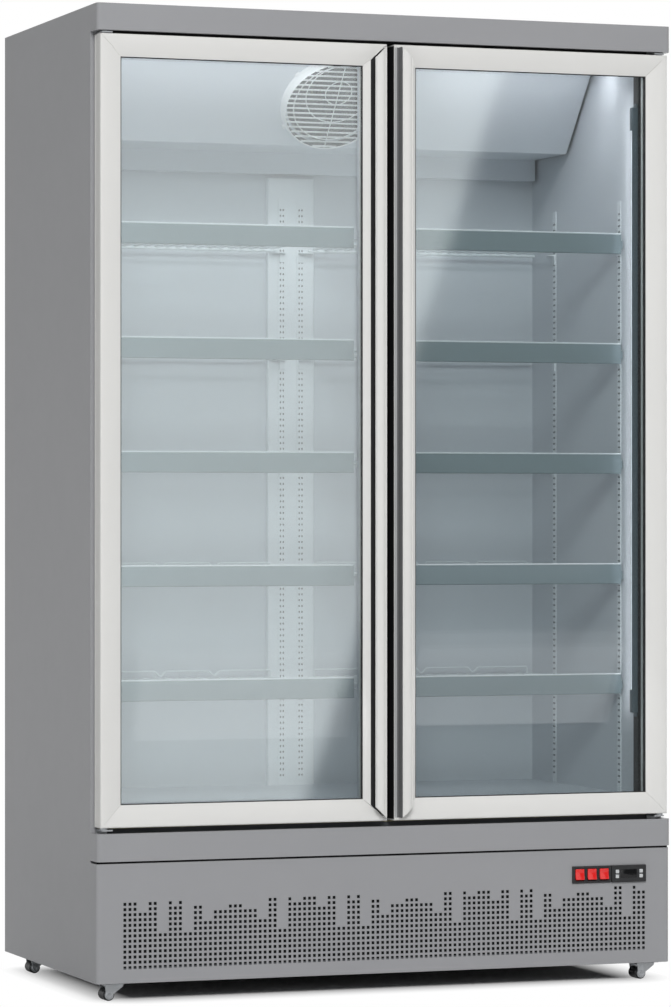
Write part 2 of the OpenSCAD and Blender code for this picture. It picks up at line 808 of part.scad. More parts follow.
module fan_guard() {
    rim = fan_r + guard_wall;
    pitch = 2 * fan_r / slat_count;
    color("#eef1f2")
    on_slope() translate([0, fan_up, 0]) {
        rotate_extrude($fn = 96) polygon(
            [[fan_r, 0], [rim, 0], [rim, guard_h - 8], [rim - 3, guard_h - 2],
             [rim - 6, guard_h], [fan_r, guard_h]]);
        for (i = [0:slat_count - 1]) {
            y = (i - (slat_count - 1) / 2) * pitch;
            l = 2 * sqrt(pow(fan_r + 1, 2) - pow(abs(y) + slat_w / 2, 2));
            translate([-l / 2, y - slat_w / 2, guard_h - 7]) cube([l, slat_w, 6]);
        }
        for (r = [0.28, 0.55, 0.8] * fan_r)
            translate([0, 0, guard_h - 1]) rotate_extrude($fn = 64) translate([r, 0]) square(2);
        // The fan's motor hangs from the guard on three arms
        translate([0, 0, -64]) difference() {
            cylinder(r = motor_r, h = motor_h, $fn = 48);
            translate([0, 0, motor_h - 24]) cylinder(d = shaft_d + 2 * fit, h = 25, $fn = 32);
        }
        for (a = [30, 150, 270]) rotate(a) {
            block([motor_r - 2, -5, -64], [fan_r - 1, 5, -61]);
            block([fan_r - 4, -5, -64], [fan_r - 1, 5, 4]);
            block([fan_r - 4, -5, 1], [fan_r + 1, 5, 4]);
        }
    }
}

// An axial fan: a hub on its shaft, with pitched blades; it turns about Z
module fan(r, blades, hub_r) {
    hub_h = 22;
    difference() {
        cylinder(r = hub_r, h = hub_h, $fn = 48);
        translate([0, 0, -1]) cylinder(r = hub_r - 2, h = hub_h - 3, $fn = 48);
    }
    translate([0, 0, -16]) cylinder(d = shaft_d, h = 16 + hub_h - 1, $fn = 32);
    for (i = [0:blades - 1]) rotate(i * 360 / blades)
        translate([0, 0, hub_h / 2]) rotate([28, 0, 0]) translate([0, 0, -1]) linear_extrude(2)
            polygon([[hub_r - 1.5, -11], [r * 0.6, -24], [r - 4, -26], [r - 0.5, -18],
                     [r - 1, 6], [r - 6, 17], [r * 0.6, 18], [hub_r - 1.5, 10]]);
}

module evaporator_fan() {
    color("#3c4146")
    on_slope() translate([0, fan_up, -64 + motor_h + 3]) fan(fan_r - 6, 5, 22);
}

// Height of a tube in a coil of height h
function tube_at(t, h, tubes) = h * (t + 0.5) / tubes;

// A finned coil: plates on hairpin tubes; tubes run along X, fins stand in Y and Z
module coil(size, tubes) {
    pitch = (size[0] - 40) / (fin_count - 1);
    rows = 2;
    for (i = [0:fin_count - 1])
        translate([20 + i * pitch, 0, 0]) cube([1, size[1], size[2]]);
    for (r = [0:rows - 1], t = [0:tubes - 1]) {
        y = size[1] * (r + 0.5) / rows;
        bar_x([0, y, tube_at(t, size[2], tubes)], size[0], tube_d, 16);
    }
    // The hairpin bends at the ends
    for (t = [0:tubes - 1], x = [-tube_d / 2, size[0] - tube_d / 2])
        translate([x, size[1] / rows / 2 - tube_d / 2, tube_at(t, size[2], tubes) - tube_d / 2])
            cube([tube_d, size[1] / rows + tube_d, tube_d]);
}

module evaporator_coil() {
    color("#b9b4a8") {
        translate([-coil_l / 2, coil_y, coil_z]) coil([coil_l, coil_d, coil_h], coil_tubes);
        // The end plates stand on the cover
        for (x = [8 - coil_l / 2, coil_l / 2 - 10])
            block([x, coil_y - 6, cover_z + cover_t], [x + 2, coil_y + coil_d + 6, coil_z + coil_h + 4]);
    }
}

// The machine room

module compressor() {
    foot = 150;
    translate([compressor_x, compressor_y, 0]) {
        color("#26282b") {
            translate([0, 0, compressor_z]) rotate_extrude($fn = 96) {
                square([compressor_r - 14, compressor_h]);
                translate([0, 14]) square([compressor_r, compressor_h - 44]);
                translate([compressor_r - 14, 14]) intersection() {
                    circle(14, $fn = 48);
                    square(40, center = true);
                }
                translate([compressor_r - 30, compressor_h - 30]) intersection() {
                    circle(30, $fn = 64);
                    translate([-compressor_r, 0]) square(2 * compressor_r);
                }
            }
            translate([0, 0, compressor_z + compressor_h * 0.52])
                cylinder(r = compressor_r + 4, h = 5, $fn = 96);
            // The terminal box
            block([compressor_r - 8, -32, compressor_z + 60], [compressor_r + 34, 32, compressor_z + 128]);
        }
        color("#33363a") translate([0, 0, compressor_z - 4]) difference() {
            translate([-foot / 2 - 20, -foot / 2 - 20, 0]) cube([foot + 40, foot + 40, 4]);
            for (x = [-1, 1], y = [-1, 1]) translate([x * foot / 2, y * foot / 2, -1])
                cylinder(d = 14, h = 6, $fn = 32);
        }
        // The rubber feet on the pan
        color("#17181a") for (x = [-1, 1], y = [-1, 1]) translate([x * foot / 2, y * foot / 2, 0]) {
            bar_z([0, 0, pan_z + 2], compressor_z - 4 - pan_z - 2, 28);
            bar_z([0, 0, compressor_z - 4], 4, 14);
            bar_z([0, 0, compressor_z], 5, 26);
        }
    }
}

module condenser() {
    size = [condenser_l, condenser_t, condenser_h];
    at = [condenser_x - condenser_l / 2, condenser_y, condenser_z];
    back = condenser_y + condenser_t;
    mid_z = condenser_z + condenser_h / 2;
    color("#b08d57") translate(at) coil(size, condenser_tubes);
    // The shroud behind the coil, with the fan's opening, standing on the pan
    color("#5c5f63") {
        difference() {
            block([at[0] + 5, back, pan_z + 2], [at[0] + condenser_l - 5, back + shroud_t, at[2] + size[2] + 2]);
            block([at[0] + 7, back - 1, pan_z + 20],
                  [at[0] + condenser_l - 7, back + shroud_t - 2, at[2] + size[2]]);
            translate([condenser_x, back + shroud_t + 1, mid_z]) rotate([90, 0, 0])
                cylinder(r = condenser_fan_r, h = 6, $fn = 96);
        }
        // The fan motor on a bridge across the opening
        translate([condenser_x, back + shroud_t, mid_z]) rotate([-90, 0, 0]) difference() {
            union() {
                translate([0, 0, 26]) cylinder(r = motor_r, h = motor_h, $fn = 48);
                for (s = [-1, 1]) {
                    translate([s > 0 ? motor_r - 3 : -condenser_fan_r - 14, -8, 32])
                        cube([condenser_fan_r + 17 - motor_r, 16, 3]);
                    translate([s * (condenser_fan_r + 12.5) - 1.5, -8, 0]) cube([3, 16, 35]);
                }
            }
            translate([0, 0, 25]) cylinder(d = shaft_d + 2 * fit, h = 25, $fn = 32);
        }
    }
    // The feet of the coil on the pan
    color("#5c5f63") for (x = [at[0] + 16, at[0] + condenser_l - 30])
        block([x, condenser_y + 8, pan_z + 2], [x + 14, condenser_y + condenser_t - 8, condenser_z]);
}

module condenser_fan() {
    back = condenser_y + condenser_t + shroud_t;
    color("#3c4146")
    translate([condenser_x, back + 23, condenser_z + condenser_h / 2]) rotate([90, 0, 0])
        fan(condenser_fan_r - 6, 5, 22);
}

// The tray that the melt water dries in, beside the compressor
module drip_tray() {
    color("#2a2c2f")
    difference() {
        block([tray_x0, tray_y0, pan_z + 2], [tray_x1, tray_y1, pan_z + 2 + tray_h]);
        block([tray_x0 + 2, tray_y0 + 2, pan_z + 4], [tray_x1 - 2, tray_y1 - 2, pan_z + 3 + tray_h]);
    }
}

// The refrigerant circuit
module refrigerant_pipes() {
    from_fan_coil = [coil_l / 2 + tube_d / 2 + clear, coil_y + coil_d / 2, 0];
    from_condenser = condenser_x + condenser_l / 2 + tube_d / 2 + clear;
    shell = compressor_r + clear;
    comp = [compressor_x, compressor_y, compressor_z];
    hot_z = condenser_z + tube_at(3, condenser_h, condenser_tubes);
    warm_z = condenser_z + tube_at(0, condenser_h, condenser_tubes);
    cold_z = coil_z + tube_at(0, coil_h, coil_tubes);
    feed_z = coil_z + tube_at(1, coil_h, coil_tubes);
    suction = [duct_x - 5, duct_y - 4];
    liquid = [duct_x + 6, duct_y + 5];
    color("#b4703c") {
        // Discharge: from the compressor's side forward to the condenser
        pipe([comp + [-shell, 0, 120], comp + [-130, 0, 120], [comp[0] - 130, comp[1], hot_z],
              [comp[0] - 130, condenser_y + 20, hot_z], [from_condenser, condenser_y + 20, hot_z]],
             liquid_d);
        // Suction: out of the cooler, down the duct and to the compressor's other side
        pipe([from_fan_coil + [0, 0, cold_z], [suction[0] - 24, from_fan_coil[1], cold_z],
              [suction[0] - 24, suction[1], cold_z], [suction[0], suction[1], cold_z],
              [suction[0], suction[1], comp[2] + 145], [suction[0], comp[1], comp[2] + 145],
              comp + [shell, 0, 145]], suction_d);
        // Liquid: from the condenser's foot, behind the compressor and up the duct to the cooler
        pipe([[from_condenser, condenser_y + 46, warm_z], [120, condenser_y + 46, warm_z],
              [120, duct_y - 30, warm_z], [liquid[0], duct_y - 30, warm_z],
              [liquid[0], liquid[1], warm_z], [liquid[0], liquid[1], feed_z],
              [liquid[0] - 52, liquid[1], feed_z], [liquid[0] - 52, from_fan_coil[1], feed_z],
              from_fan_coil + [0, 0, feed_z]], liquid_d);
    }
}

// The controls

module rocker_cell_x(n) {
    translate([bezel_l + 3 + cell_w * (n - 0.5), rocker_y, control_z]) children();
}

module control_bezel() {
    x1 = bezel_l + 3 + 3 * cell_w;
    color("#191a1c")
    difference() {
        union() {
            block([bezel_l, grille_y - bezel_t, control_z - control_h / 2],
                  [bezel_r, grille_y, control_z + control_h / 2]);
            block([bezel_l + 3, grille_y, control_z - housing_h / 2],
                  [x1, grille_y + housing_d, control_z + housing_h / 2]);
        }
        for (n = [1:3]) rocker_cell_x(n) {
            block([-rocker_w / 2 - 0.5, -bezel_t - 4, -rocker_h / 2 - rocker_clear],
                  [rocker_w / 2 + 0.5, housing_d - 6, rocker_h / 2 + rocker_clear]);
            bar_x([-rocker_w / 2 - 3.5, 0, 0], rocker_w + 7, rocker_pin_d + 2 * fit);
        }
    }
}

// A rocker: shallow V front, sides that taper to the pivot, and a pin through it
module rocker(n) {
    nose = 8.5;
    half = rocker_h / 2;
    color("#d81e1e")
    rocker_cell_x(n) rotate([-rocker_swing / 2, 0, 0]) {
        along_x(-rocker_w / 2, rocker_w / 2)
            polygon([[-nose, half], [1.5 - nose, 0], [-nose, -half], [4, -half + 5], [4, half - 5]]);
        bar_x([-rocker_w / 2 - rocker_pin_l, 0, 0], rocker_w + 2 * rocker_pin_l, rocker_pin_d);
    }
}

module thermostat() {
    y = grille_y - thermostat_t;
    color("#1d1e20")
    difference() {
        union() {
            block([bezel_r, y, control_z - control_h / 2],
                  [bezel_r + thermostat_w, grille_y, control_z + control_h / 2]);
            block([thermostat_x - thermostat_body_w / 2, grille_y, control_z - housing_h / 2],
                  [thermostat_x + thermostat_body_w / 2, grille_y + 60, control_z + housing_h / 2]);
        }
        block([thermostat_x - 18, y - 1, control_z - 9], [thermostat_x + 18, y + 1.2, control_z + 9]);
        for (b = [0:3]) at_button(b)
            block([-button_w / 2 - clear, -5, -button_w / 2 - clear],
                  [button_w / 2 + clear, button_t - button_out + button_back, button_w / 2 + clear]);
    }
}

module at_button(b) {
    x = b % 2 == 0 ? -button_dx : button_dx;
    z = b < 2 ? button_dz : -button_dz;
    translate([thermostat_x + x, grille_y - thermostat_t, control_z + z]) children();
}

module button(b) {
    color("#cfd2d4")
    at_button(b)
        block([-button_w / 2, -button_out, -button_w / 2],
              [button_w / 2, button_t - button_out, button_w / 2]);
}

// The hinges: angle brackets on the body's front with pins into the doors

module hinge_brackets() {
    w = 30;
    t = 3;
    x0 = hinge_x - w / 2;
    x1 = min(hinge_x + w / 2, half_w - fascia_lip - clear);
    top_z = door_top + gap_top / 2 - t / 2;
    low_z = door_z - gap_low / 2 - t / 2 + 0.7;
    color("#7c8085") both_sides() {
        block([x0, hinge_y - 11, top_z], [x1, body_y, top_z + t]);
        block([x0, body_y - t, top_z], [x1, body_y, top_z + 48]);
        bar_z([hinge_x, hinge_y, door_top - pin_l], top_z - door_top + pin_l + 1, pin_d);
        block([x0, hinge_y - 11, low_z], [x1, body_y, low_z + t]);
        block([x0, body_y - t, low_z - 44], [x1, body_y, low_z + t]);
        bar_z([hinge_x, hinge_y, low_z + 1], door_z + pin_l - low_z - 1, pin_d);
        bar_z([hinge_x, hinge_y, low_z + t], door_z - clear - low_z - t, pin_d + 8);
    }
}

// The doors, drawn for the right-hand side: X from the meeting edge, Z up from the lower edge

module in_door() {
    translate([door_split / 2, front_y, door_z]) children();
}

// Section of a frame bar: u from the outer side to the glass, v back from the front.
// The front falls in a curve from a rounded outer edge; flat is its level width.
function frame_section(w, flat) = let (arcs = 6) concat(
    [[0, door_t], [0, 34], [1.2, 33], [1.2, 31], [0, 30]],
    [for (a = [0:30:90]) [edge_r * (1 - cos(a)), edge_r * (1 - sin(a))]],
    [for (i = [flat > edge_r ? 0 : 1:arcs]) let (s = i / arcs)
        [flat + (w - flat) * s, front_fall * s * s]],
    [[w, pane_y], [w - glass_hold - pocket_in, pane_y],
     [w - glass_hold - pocket_in, pane_y + glazing_t], [w - 3, pane_y + glazing_t],
     [w - 3, door_t]]);

// The parts of the frame between the mitres
module mitred(outline) {
    intersection() {
        children();
        along_y(-1, door_t + 1) polygon(outline);
    }
}

module door_frame() {
    g = rail_w;
    h = handle_stile_w;
    flat = handle_in + lip_w - 6;
    low = [[0, 0], [door_w, 0], [door_w - g, g], [h, g]];
    high = [for (p = low) [p[0], door_h - p[1]]];
    rail = [for (p = frame_section(g, edge_r)) [p[1], p[0]]];
    color("#dcdcda")
    difference() {
        union() {
            mitred(low) along_x(0, door_w) polygon(rail);
            mitred(high) translate([0, 0, door_h]) mirror([0, 0, 1]) along_x(0, door_w) polygon(rail);
            mitred([[0, 0], [h, g], [h, door_h - g], [0, door_h]])
                linear_extrude(door_h) polygon(frame_section(h, flat));
            mitred([[door_w, 0], [door_w, door_h], [door_w - g, door_h - g], [door_w - g, g]])
                translate([door_w, 0, 0]) mirror([1, 0, 0])
                linear_extrude(door_h) polygon(frame_section(g, edge_r));
        }
        for (z = [-1, door_h - pin_l - 2])
            bar_z([door_w - hinge_in, hinge_back, z], pin_l + 3, pin_d + 2 * fit);
    }
}

// A ring in the plane of the door, of width w, set in from each edge
module door_ring(left, right, ends, w, from, to) {
    along_y(from, to) difference() {
        translate([left, ends]) square([door_w - left - right, door_h - 2 * ends]);
        translate([left + w, ends + w])
            square([door_w - left - right - 2 * w, door_h - 2 * (ends + w)]);
    }
}

module door_glass() {
    color("#c4d6dc88")
    for (y = [pane_y, pane_y + pane_t + pane_gap])
        block([glass_left, y, glass_right], [door_w - glass_right, y + pane_t, door_h - glass_right]);
}

// The magnetic gasket behind the frame and the black spacer between the panes
module door_seals() {
    color("#1b1b1d") {
        door_ring(gasket_in, gasket_in, gasket_in, gasket_w, door_t, fascia_d - clear);
        door_ring(glass_left, glass_right, glass_right, spacer_w, pane_y + pane_t, pane_y + pane_t + pane_gap);
    }
}

// The full-height handle: a folded section with mitred ends and a ribbed grip strip
module door_handle() {
    r = 3;
    grip = [[lip_w - 8, 0], [strip_t, 0], [strip_t, -handle_out + r],
            [strip_t + r * (1 - cos(45)), -handle_out + r * (1 - sin(45))],
            [strip_t + r, -handle_out], [lip_w, -handle_out], [lip_w, 7 - handle_out]];
    ribs = 5;
    rib = (handle_out - r) / ribs;
    color("#dcdcda")
    intersection() {
        translate([handle_in, 0, 0]) {
            linear_extrude(door_h) strip2(grip, handle_t);
            linear_extrude(door_h) polygon(concat([[strip_t, 0], [strip_t, -ribs * rib]],
                [for (i = [ribs:-1:1]) each [[0, -i * rib], [0, -(i - 0.55) * rib],
                                             [0.6, -(i - 0.6) * rib], [0.6, -(i - 1) * rib]]]));
        }
        along_y(-handle_out - 1, 1) polygon(
            [[handle_in, handle_end], [handle_in + lip_w, handle_end + lip_w],
             [handle_in + lip_w, door_h - handle_end - lip_w], [handle_in, door_h - handle_end]]);
    }
}

// The casters: plate on the pan, swivel fork with its pin, and a roller

module caster_plates() {
    color("#6f7377")
    for (p = caster_places) difference() {
        translate([p[0], p[1], pan_z - plate_t]) linear_extrude(plate_t)
            round_rect([-30, -24], [30, 24], 4);
        bar_z([p[0], p[1], pan_z - plate_t - 1], plate_t + 2, king_d + 2 * fit);
    }
}

module fork(c) {
    p = caster_places[c];
    cheek = wheel_w / 2 + fork_gap;
    r = 9;
    color("#85898d")
    translate([p[0], p[1], 0]) {
        block([-disc_r - 3, -cheek - fork_t - 0.5, fork_top - disc_t],
              [disc_r + 3, cheek + fork_t + 0.5, fork_top]);
        bar_z([0, 0, fork_top - disc_t - 2], disc_t + 1, 2 * disc_r - 4);
        bar_z([0, 0, fork_top - 1], plate_t + clear + 2, king_d);
        for (y = [cheek, -cheek - fork_t]) along_y(y, y + fork_t) {
            polygon([[-disc_r - 2, fork_top - 1], [disc_r + 2, fork_top - 1],
                     [disc_r + 2, fork_top - 5], [-trail + r - 3, axle_z], [-trail - r + 3, axle_z]]);
            translate([-trail, axle_z]) circle(r, $fn = 48);
        }
        bar_y([-trail, -cheek - fork_t - 1, axle_z], 2 * (cheek + fork_t + 1), axle_d);
    }
}

module wheel(c) {
    p = caster_places[c];
    chamfer = 2;
    r = wheel_d / 2;
    color("#1e1f21")
    translate([p[0] - trail, p[1], axle_z]) rotate([90, 0, 0])
        rotate_extrude($fn = 64) polygon(
            [[axle_d / 2 + fit, -wheel_w / 2], [r - chamfer, -wheel_w / 2], [r, chamfer - wheel_w / 2],
             [r, wheel_w / 2 - chamfer], [r - chamfer, wheel_w / 2], [axle_d / 2 + fit, wheel_w / 2]]);
}

side_panel_left();
side_panel_right();
back_panel();
top_panel();
insulation();
inner_liner();
header_fascia();
lower_fascia();
grille_panel();
centre_post();
throat_frame();
base_frame();
shelf_standards();
evaporator_cover();
fan_guard();
evaporator_coil();
evaporator_fan();
lamps();
compressor();
condenser();
condenser_fan();
drip_tray();
refrigerant_pipes();
control_bezel();
thermostat();
hinge_brackets();
caster_plates();
for (n = [1:3])
    rocker(n);
for (b = [0:3])
    button(b);
for (s = [0, 1]) mirror([1 - s, 0, 0]) in_door() {
    door_frame();
    door_glass();
    door_seals();
    door_handle();
}
for (c = [0:3]) {
    fork(c);
    wheel(c);
}
for (s = [0, 1], n = [1:shelf_count])
    mirror([1 - s, 0, 0]) shelf(n);
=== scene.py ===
# Upright two-door bottle cooler: glass doors with full-height handles, wire shelves,
# a fan cooler under the roof, a punched grille in front of the machine room, casters.
# Sizes in the dictionaries are millimetres; the scene itself is in metres.
import math

import bpy
import numpy as np
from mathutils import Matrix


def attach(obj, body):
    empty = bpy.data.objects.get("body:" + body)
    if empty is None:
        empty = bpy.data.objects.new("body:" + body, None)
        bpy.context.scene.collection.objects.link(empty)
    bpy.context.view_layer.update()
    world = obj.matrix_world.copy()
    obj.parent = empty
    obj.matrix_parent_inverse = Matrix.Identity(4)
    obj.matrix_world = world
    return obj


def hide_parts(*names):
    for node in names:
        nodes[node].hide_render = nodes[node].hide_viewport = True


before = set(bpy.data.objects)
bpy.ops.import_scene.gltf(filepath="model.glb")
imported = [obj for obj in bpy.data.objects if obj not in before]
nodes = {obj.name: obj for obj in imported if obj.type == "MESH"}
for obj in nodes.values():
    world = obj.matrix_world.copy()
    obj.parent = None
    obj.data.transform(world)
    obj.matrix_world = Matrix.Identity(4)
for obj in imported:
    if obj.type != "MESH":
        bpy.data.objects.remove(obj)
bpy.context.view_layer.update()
print("cooler frame:", len(nodes), "solids")

sides = {"left": -1, "right": 1}
millimetre = 0.001


# A new object for some data, in the scene
def linked(name, data):
    made = bpy.data.objects.new(name, data)
    bpy.context.scene.collection.objects.link(made)
    return made


# Camera, lights and room

photoCamera = {"place": (-3.062, -8.388, 0.986), "yaw": 20.05, "lens": 150.7, "shift": 0.0055, "end": 60}

cameraData = bpy.data.cameras.new("photoCamera")
cameraData.lens = photoCamera["lens"]
cameraData.shift_y = photoCamera["shift"]
cameraData.clip_end = photoCamera["end"]
camera = linked("photoCamera", cameraData)
camera.location = photoCamera["place"]
camera.rotation_euler = (math.pi / 2, 0, -math.radians(photoCamera["yaw"]))
bpy.context.scene.camera = camera
bpy.context.scene.view_settings.view_transform = "Standard"

# name: (place, aimed at, width and height in metres, watts, colour)
lamps = {
    "frontSoft": ((-2.5, -8.9, 5.4), (0, -0.3, 0.95), (3.4, 2.6), 625, (1, 0.995, 0.99)),
    "topSoft": ((-0.2, -1, 4.2), (0, 0, 1.2), (2.4, 2), 8, (1, 1, 1)),
    "backSoft": ((2.4, 6.5, 2.6), (0, 0.3, 1), (3, 2.4), 300, (1, 1, 1)),
    "ceilingLeft": ((-0.3, -0.13, 1.935), (-0.3, -0.11, 1), (0.5, 0.04), 0.74, (1, 0.96, 0.98)),
    "ceilingRight": ((0.36, -0.13, 1.935), (0.36, -0.11, 1), (0.38, 0.04), 0.78, (1, 0.96, 0.98)),
    "roomLeft": ((-0.3, -0.262, 0.8), (-0.3, 0.3, 0.6), (0.46, 0.6), 0.22, (1, 0.96, 0.98)),
    "roomRight": ((0.3, -0.262, 0.8), (0.3, 0.3, 0.5), (0.46, 0.6), 0.3, (1, 0.96, 0.98)),
    "wallLeft": ((-0.548, -0.228, 1.2), (-0.577, -0.228, 1.2), (0.01, 1.3), 0.14, (1, 0.965, 0.985)),
    "wallRight": ((0.548, -0.228, 1.2), (0.577, -0.228, 1.2), (0.01, 1.3), 0.18, (1, 0.965, 0.985)),
}


# An area lamp turned to its target: it tilts by atan2(level distance, drop) and turns by atan2(-x, y)
def addLamp(name, place, target, size, watts, colour):
    light = bpy.data.lights.new(name, "AREA")
    light.shape = "RECTANGLE"
    light.size, light.size_y = size
    light.energy = watts
    light.color = colour
    holder = linked(name, light)
    holder.location = place
    aim = np.array(target) - np.array(place)
    flat = math.hypot(aim[0], aim[1])
    holder.rotation_euler = (math.atan2(flat, -aim[2]), 0, math.atan2(-aim[0], aim[1]))
    # The studio's lights are not mirrored in the object
    holder.visible_glossy = "Soft" not in name


for lampName, facts in lamps.items():
    addLamp(lampName, *facts)


# Finishes

# An operator that adds its Math node; a reflected one has a number on its left
def joining(operation, reflected=False):
    def join(wire, other):
        return wire.math(operation, other, wire) if reflected else wire.math(operation, wire, other)
    return join


class Wire:
    # A socket that +, -, * and / join to others
    __add__, __radd__ = joining("ADD"), joining("ADD", True)
    __sub__, __rsub__ = joining("SUBTRACT"), joining("SUBTRACT", True)
    __mul__, __rmul__ = joining("MULTIPLY"), joining("MULTIPLY", True)
    __truediv__, __rtruediv__ = joining("DIVIDE"), joining("DIVIDE", True)

    def __init__(self, finish, socket):
        self.finish = finish
        self.socket = socket

    def math(self, operation, first, second=0):
        return self.finish.node("Math", {"operation": operation}, {0: first, 1: second})


class Finish:
    # The nodes of one material or world; node() sets a new node's settings, then its sockets
    def __init__(self, name, world=False):
        self.owner = (bpy.data.worlds if world else bpy.data.materials).new(name)
        self.output = "OutputWorld" if world else "OutputMaterial"
        self.owner.use_nodes = True
        self.tree = self.owner.node_tree
        self.tree.nodes.clear()
        self.place = None if world else self.node("TexCoord", out="Object")

    def node(self, kind, settings={}, sockets={}, out=0):
        made = self.tree.nodes.new("ShaderNode" + kind)
        for key, value in settings.items():
            setattr(made, key, value)
        for key, value in sockets.items():
            if isinstance(value, Wire):
                self.tree.links.new(value.socket, made.inputs[key])
            else:
                made.inputs[key].default_value = value
        return Wire(self, made.outputs[out]) if made.outputs else None

    def noise(self, scale, detail=2.0, rough=0.5, vector=None):
        return self.node("TexNoise", {}, {"Vector": vector or self.place, "Scale": scale,
                                          "Detail": detail, "Roughness": rough})

    def steps(self, value, low, high, toLow=0.0, toHigh=1.0):
        return self.node("MapRange", {}, {"Value": value, "From Min": low, "From Max": high,
                                          "To Min": toLow, "To Max": toHigh})

    def blend(self, mask, first, second):
        return self.node("Mix", {"data_type": "RGBA"}, {0: mask, 6: first, 7: second}, 2)

    def bump(self, height, strength, distance):
        return self.node("Bump", {}, {"Strength": strength, "Distance": distance, "Height": height})

    def close(self, shader):
        self.node(self.output, {}, {"Surface": shader})
        return self.owner

    def principled(self, colour, roughness, **sockets):
        names = {"metal": "Metallic", "normal": "Normal", "coat": "Coat Weight",
                 "glow": "Emission Color", "glowStrength": "Emission Strength"}
        return self.node("BsdfPrincipled", {}, {"Base Color": colour, "Roughness": roughness,
                                                **{names[key]: value for key, value in sockets.items()}})

    def surface(self, *facts, **sockets):
        return self.close(self.principled(*facts, **sockets))


# A colour written as it looks on a screen, from 0 to 255, made linear and scaled
def tone(colour, factor=1.0):
    screen = np.array(colour) / 255
    linear = np.where(screen <= 0.04045, screen / 12.92, ((screen + 0.055) / 1.055) ** 2.4)
    return (*(min(1.0, float(v) * factor) for v in linear), 1.0)


# A painted or moulded skin: slow mottling of the colour, a fine grain in height, and gloss
# that varies with a second noise
def skin(name, colour, rough, grainScale, grainDepth, mottle=0.03, gloss=0.05, **more):
    f = Finish(name)
    patches = f.steps(f.noise(3.1, 3, 0.55), 0.3, 0.7)
    base = f.blend(patches, tone(colour, 1 - mottle), tone(colour, 1 + mottle))
    roughness = f.noise(23, 4, 0.6) * (2 * gloss) + (rough - gloss)
    return f.surface(base, roughness, normal=f.bump(f.noise(grainScale, 3, 0.6), 0.5, grainDepth), **more)


# A strip drawn out upright: long streaks of noise drive the colour, the gloss and the height
def brushed(name, colour, rough, lines=(420, 420, 420 / 90), depth=0.00004):
    f = Finish(name)
    streaks = f.noise(1, 3, 0.65, f.node("Mapping", {}, {"Vector": f.place, "Scale": lines}))
    base = f.blend(f.steps(streaks, 0.25, 0.75), tone(colour, 0.94), tone(colour, 1.05))
    return f.surface(base, streaks * 0.14 + (rough - 0.07), normal=f.bump(streaks, 0.35, depth))


# Galvanised sheet: Voronoi cells give each spangle its own brightness and gloss
def spangled(name, colour, rough, cell):
    f = Finish(name)
    cells = f.node("TexVoronoi", {}, {"Vector": f.place, "Scale": cell}, "Color")
    level = f.node("SeparateColor", {}, {"Color": cells})
    base = f.blend(level, tone(colour, 0.86), tone(colour, 1.1))
    return f.surface(base, level * 0.16 + (rough - 0.08), metal=0.85,
                     normal=f.bump(f.noise(240, 3), 0.3, 0.00008))


# Clear float glass: a mirror mixed into a clear film by the Fresnel share of the reflection;
# behind a face the node turns the index over, so it is given turned over there
def clearGlass(name, tint, mirror, index=1.5):
    f = Finish(name)
    behind = f.node("NewGeometry", out="Backfacing")
    share = f.node("Fresnel", {}, {"IOR": index - behind * (index - 1 / index)})
    film = f.node("BsdfTransparent", {}, {"Color": tone(tint)})
    face = f.principled(tone((250, 252, 252)), f.noise(5, 4, 0.6) * 0.03 + 0.01, metal=1)
    return f.close(f.node("MixShader", {}, {0: share * mirror, 1: film, 2: face}))


# Moulded or opal diffuser that gives light
def glowing(name, colour, strength):
    f = Finish(name)
    ribs = f.node("TexWave", {}, {"Vector": f.place, "Scale": 160})
    return f.surface(tone(colour), 0.35, normal=f.bump(ribs, 0.2, 0.0001),
                     glow=tone(colour), glowStrength=strength)


# Foam: two sizes of noise for the cut cells
def foamed(name, colour):
    f = Finish(name)
    cells = f.noise(900) * 0.6 + f.noise(90, 4) * 0.4
    base = f.blend(f.steps(cells, 0.35, 0.65), tone(colour, 0.86), tone(colour, 1.05))
    return f.surface(base, 0.9, normal=f.bump(cells, 0.8, 0.0006))


# Drawn copper: streaks of tarnish over bright metal
def coppery(name):
    f = Finish(name)
    tarnish = f.noise(14, 5, 0.65)
    base = f.blend(f.steps(tarnish, 0.4, 0.75), tone((201, 132, 92)), tone((126, 78, 52)))
    return f.surface(base, f.steps(tarnish, 0.3, 0.8, 0.28, 0.5), metal=1,
                     normal=f.bump(f.noise(160), 0.25, 0.00006))


# Fins: a stack of thin plates drawn as fine bands across the row
def finned(name, colour):
    f = Finish(name)
    bands = f.node("TexWave", {}, {"Vector": f.place, "Scale": 95, "Distortion": 0.15, "Detail": 1})
    base = f.blend(bands, tone(colour, 0.55), tone(colour, 1.05))
    return f.surface(base, 0.45, metal=0.7, normal=f.bump(bands, 0.5, 0.0003))


paint = skin("greyPaint", (151, 152, 155), 0.42, 900, 0.00012, 0.012, 0.04)
framePaint = skin("silverFramePaint", (221, 221, 219), 0.36, 700, 0.00006, 0.012, 0.04)
gripPaint = brushed("grooveGrip", (100, 101, 102), 0.42)
# Painted shade: the grey on the door's face beside the handle stands for the handle's shade
handleShadeGrey = skin("handleShadeGrey", (176, 177, 179), 0.5, 900, 0.00002)
linerPaint = skin("whiteLiner", (203, 207, 213), 0.34, 420, 0.0001, 0.012)
coverPaint = skin("coolerCoverPaint", (226, 230, 236), 0.36, 520, 0.0001, 0.012)
standardPaint = skin("standardPaint", (226, 229, 233), 0.34, 420, 0.0001, 0.012)
# Painted shade: the dark seen through the standards' slots, on blocks in the hollows behind them
slotPaintedShade = skin("slotHollowShade", (44, 50, 55), 0.6, 420, 0.0001, 0.05)
railPaint = skin("shelfRailPaint", (126, 139, 145), 0.38, 600, 0.0001, 0.02)
wirePaint = skin("shelfWireCoat", (226, 231, 234), 0.3, 300, 0.0001, 0.02, 0.06, coat=0.3)
blackPlastic = skin("blackPlastic", (30, 31, 33), 0.42, 1500, 0.00015, 0.06, 0.06)
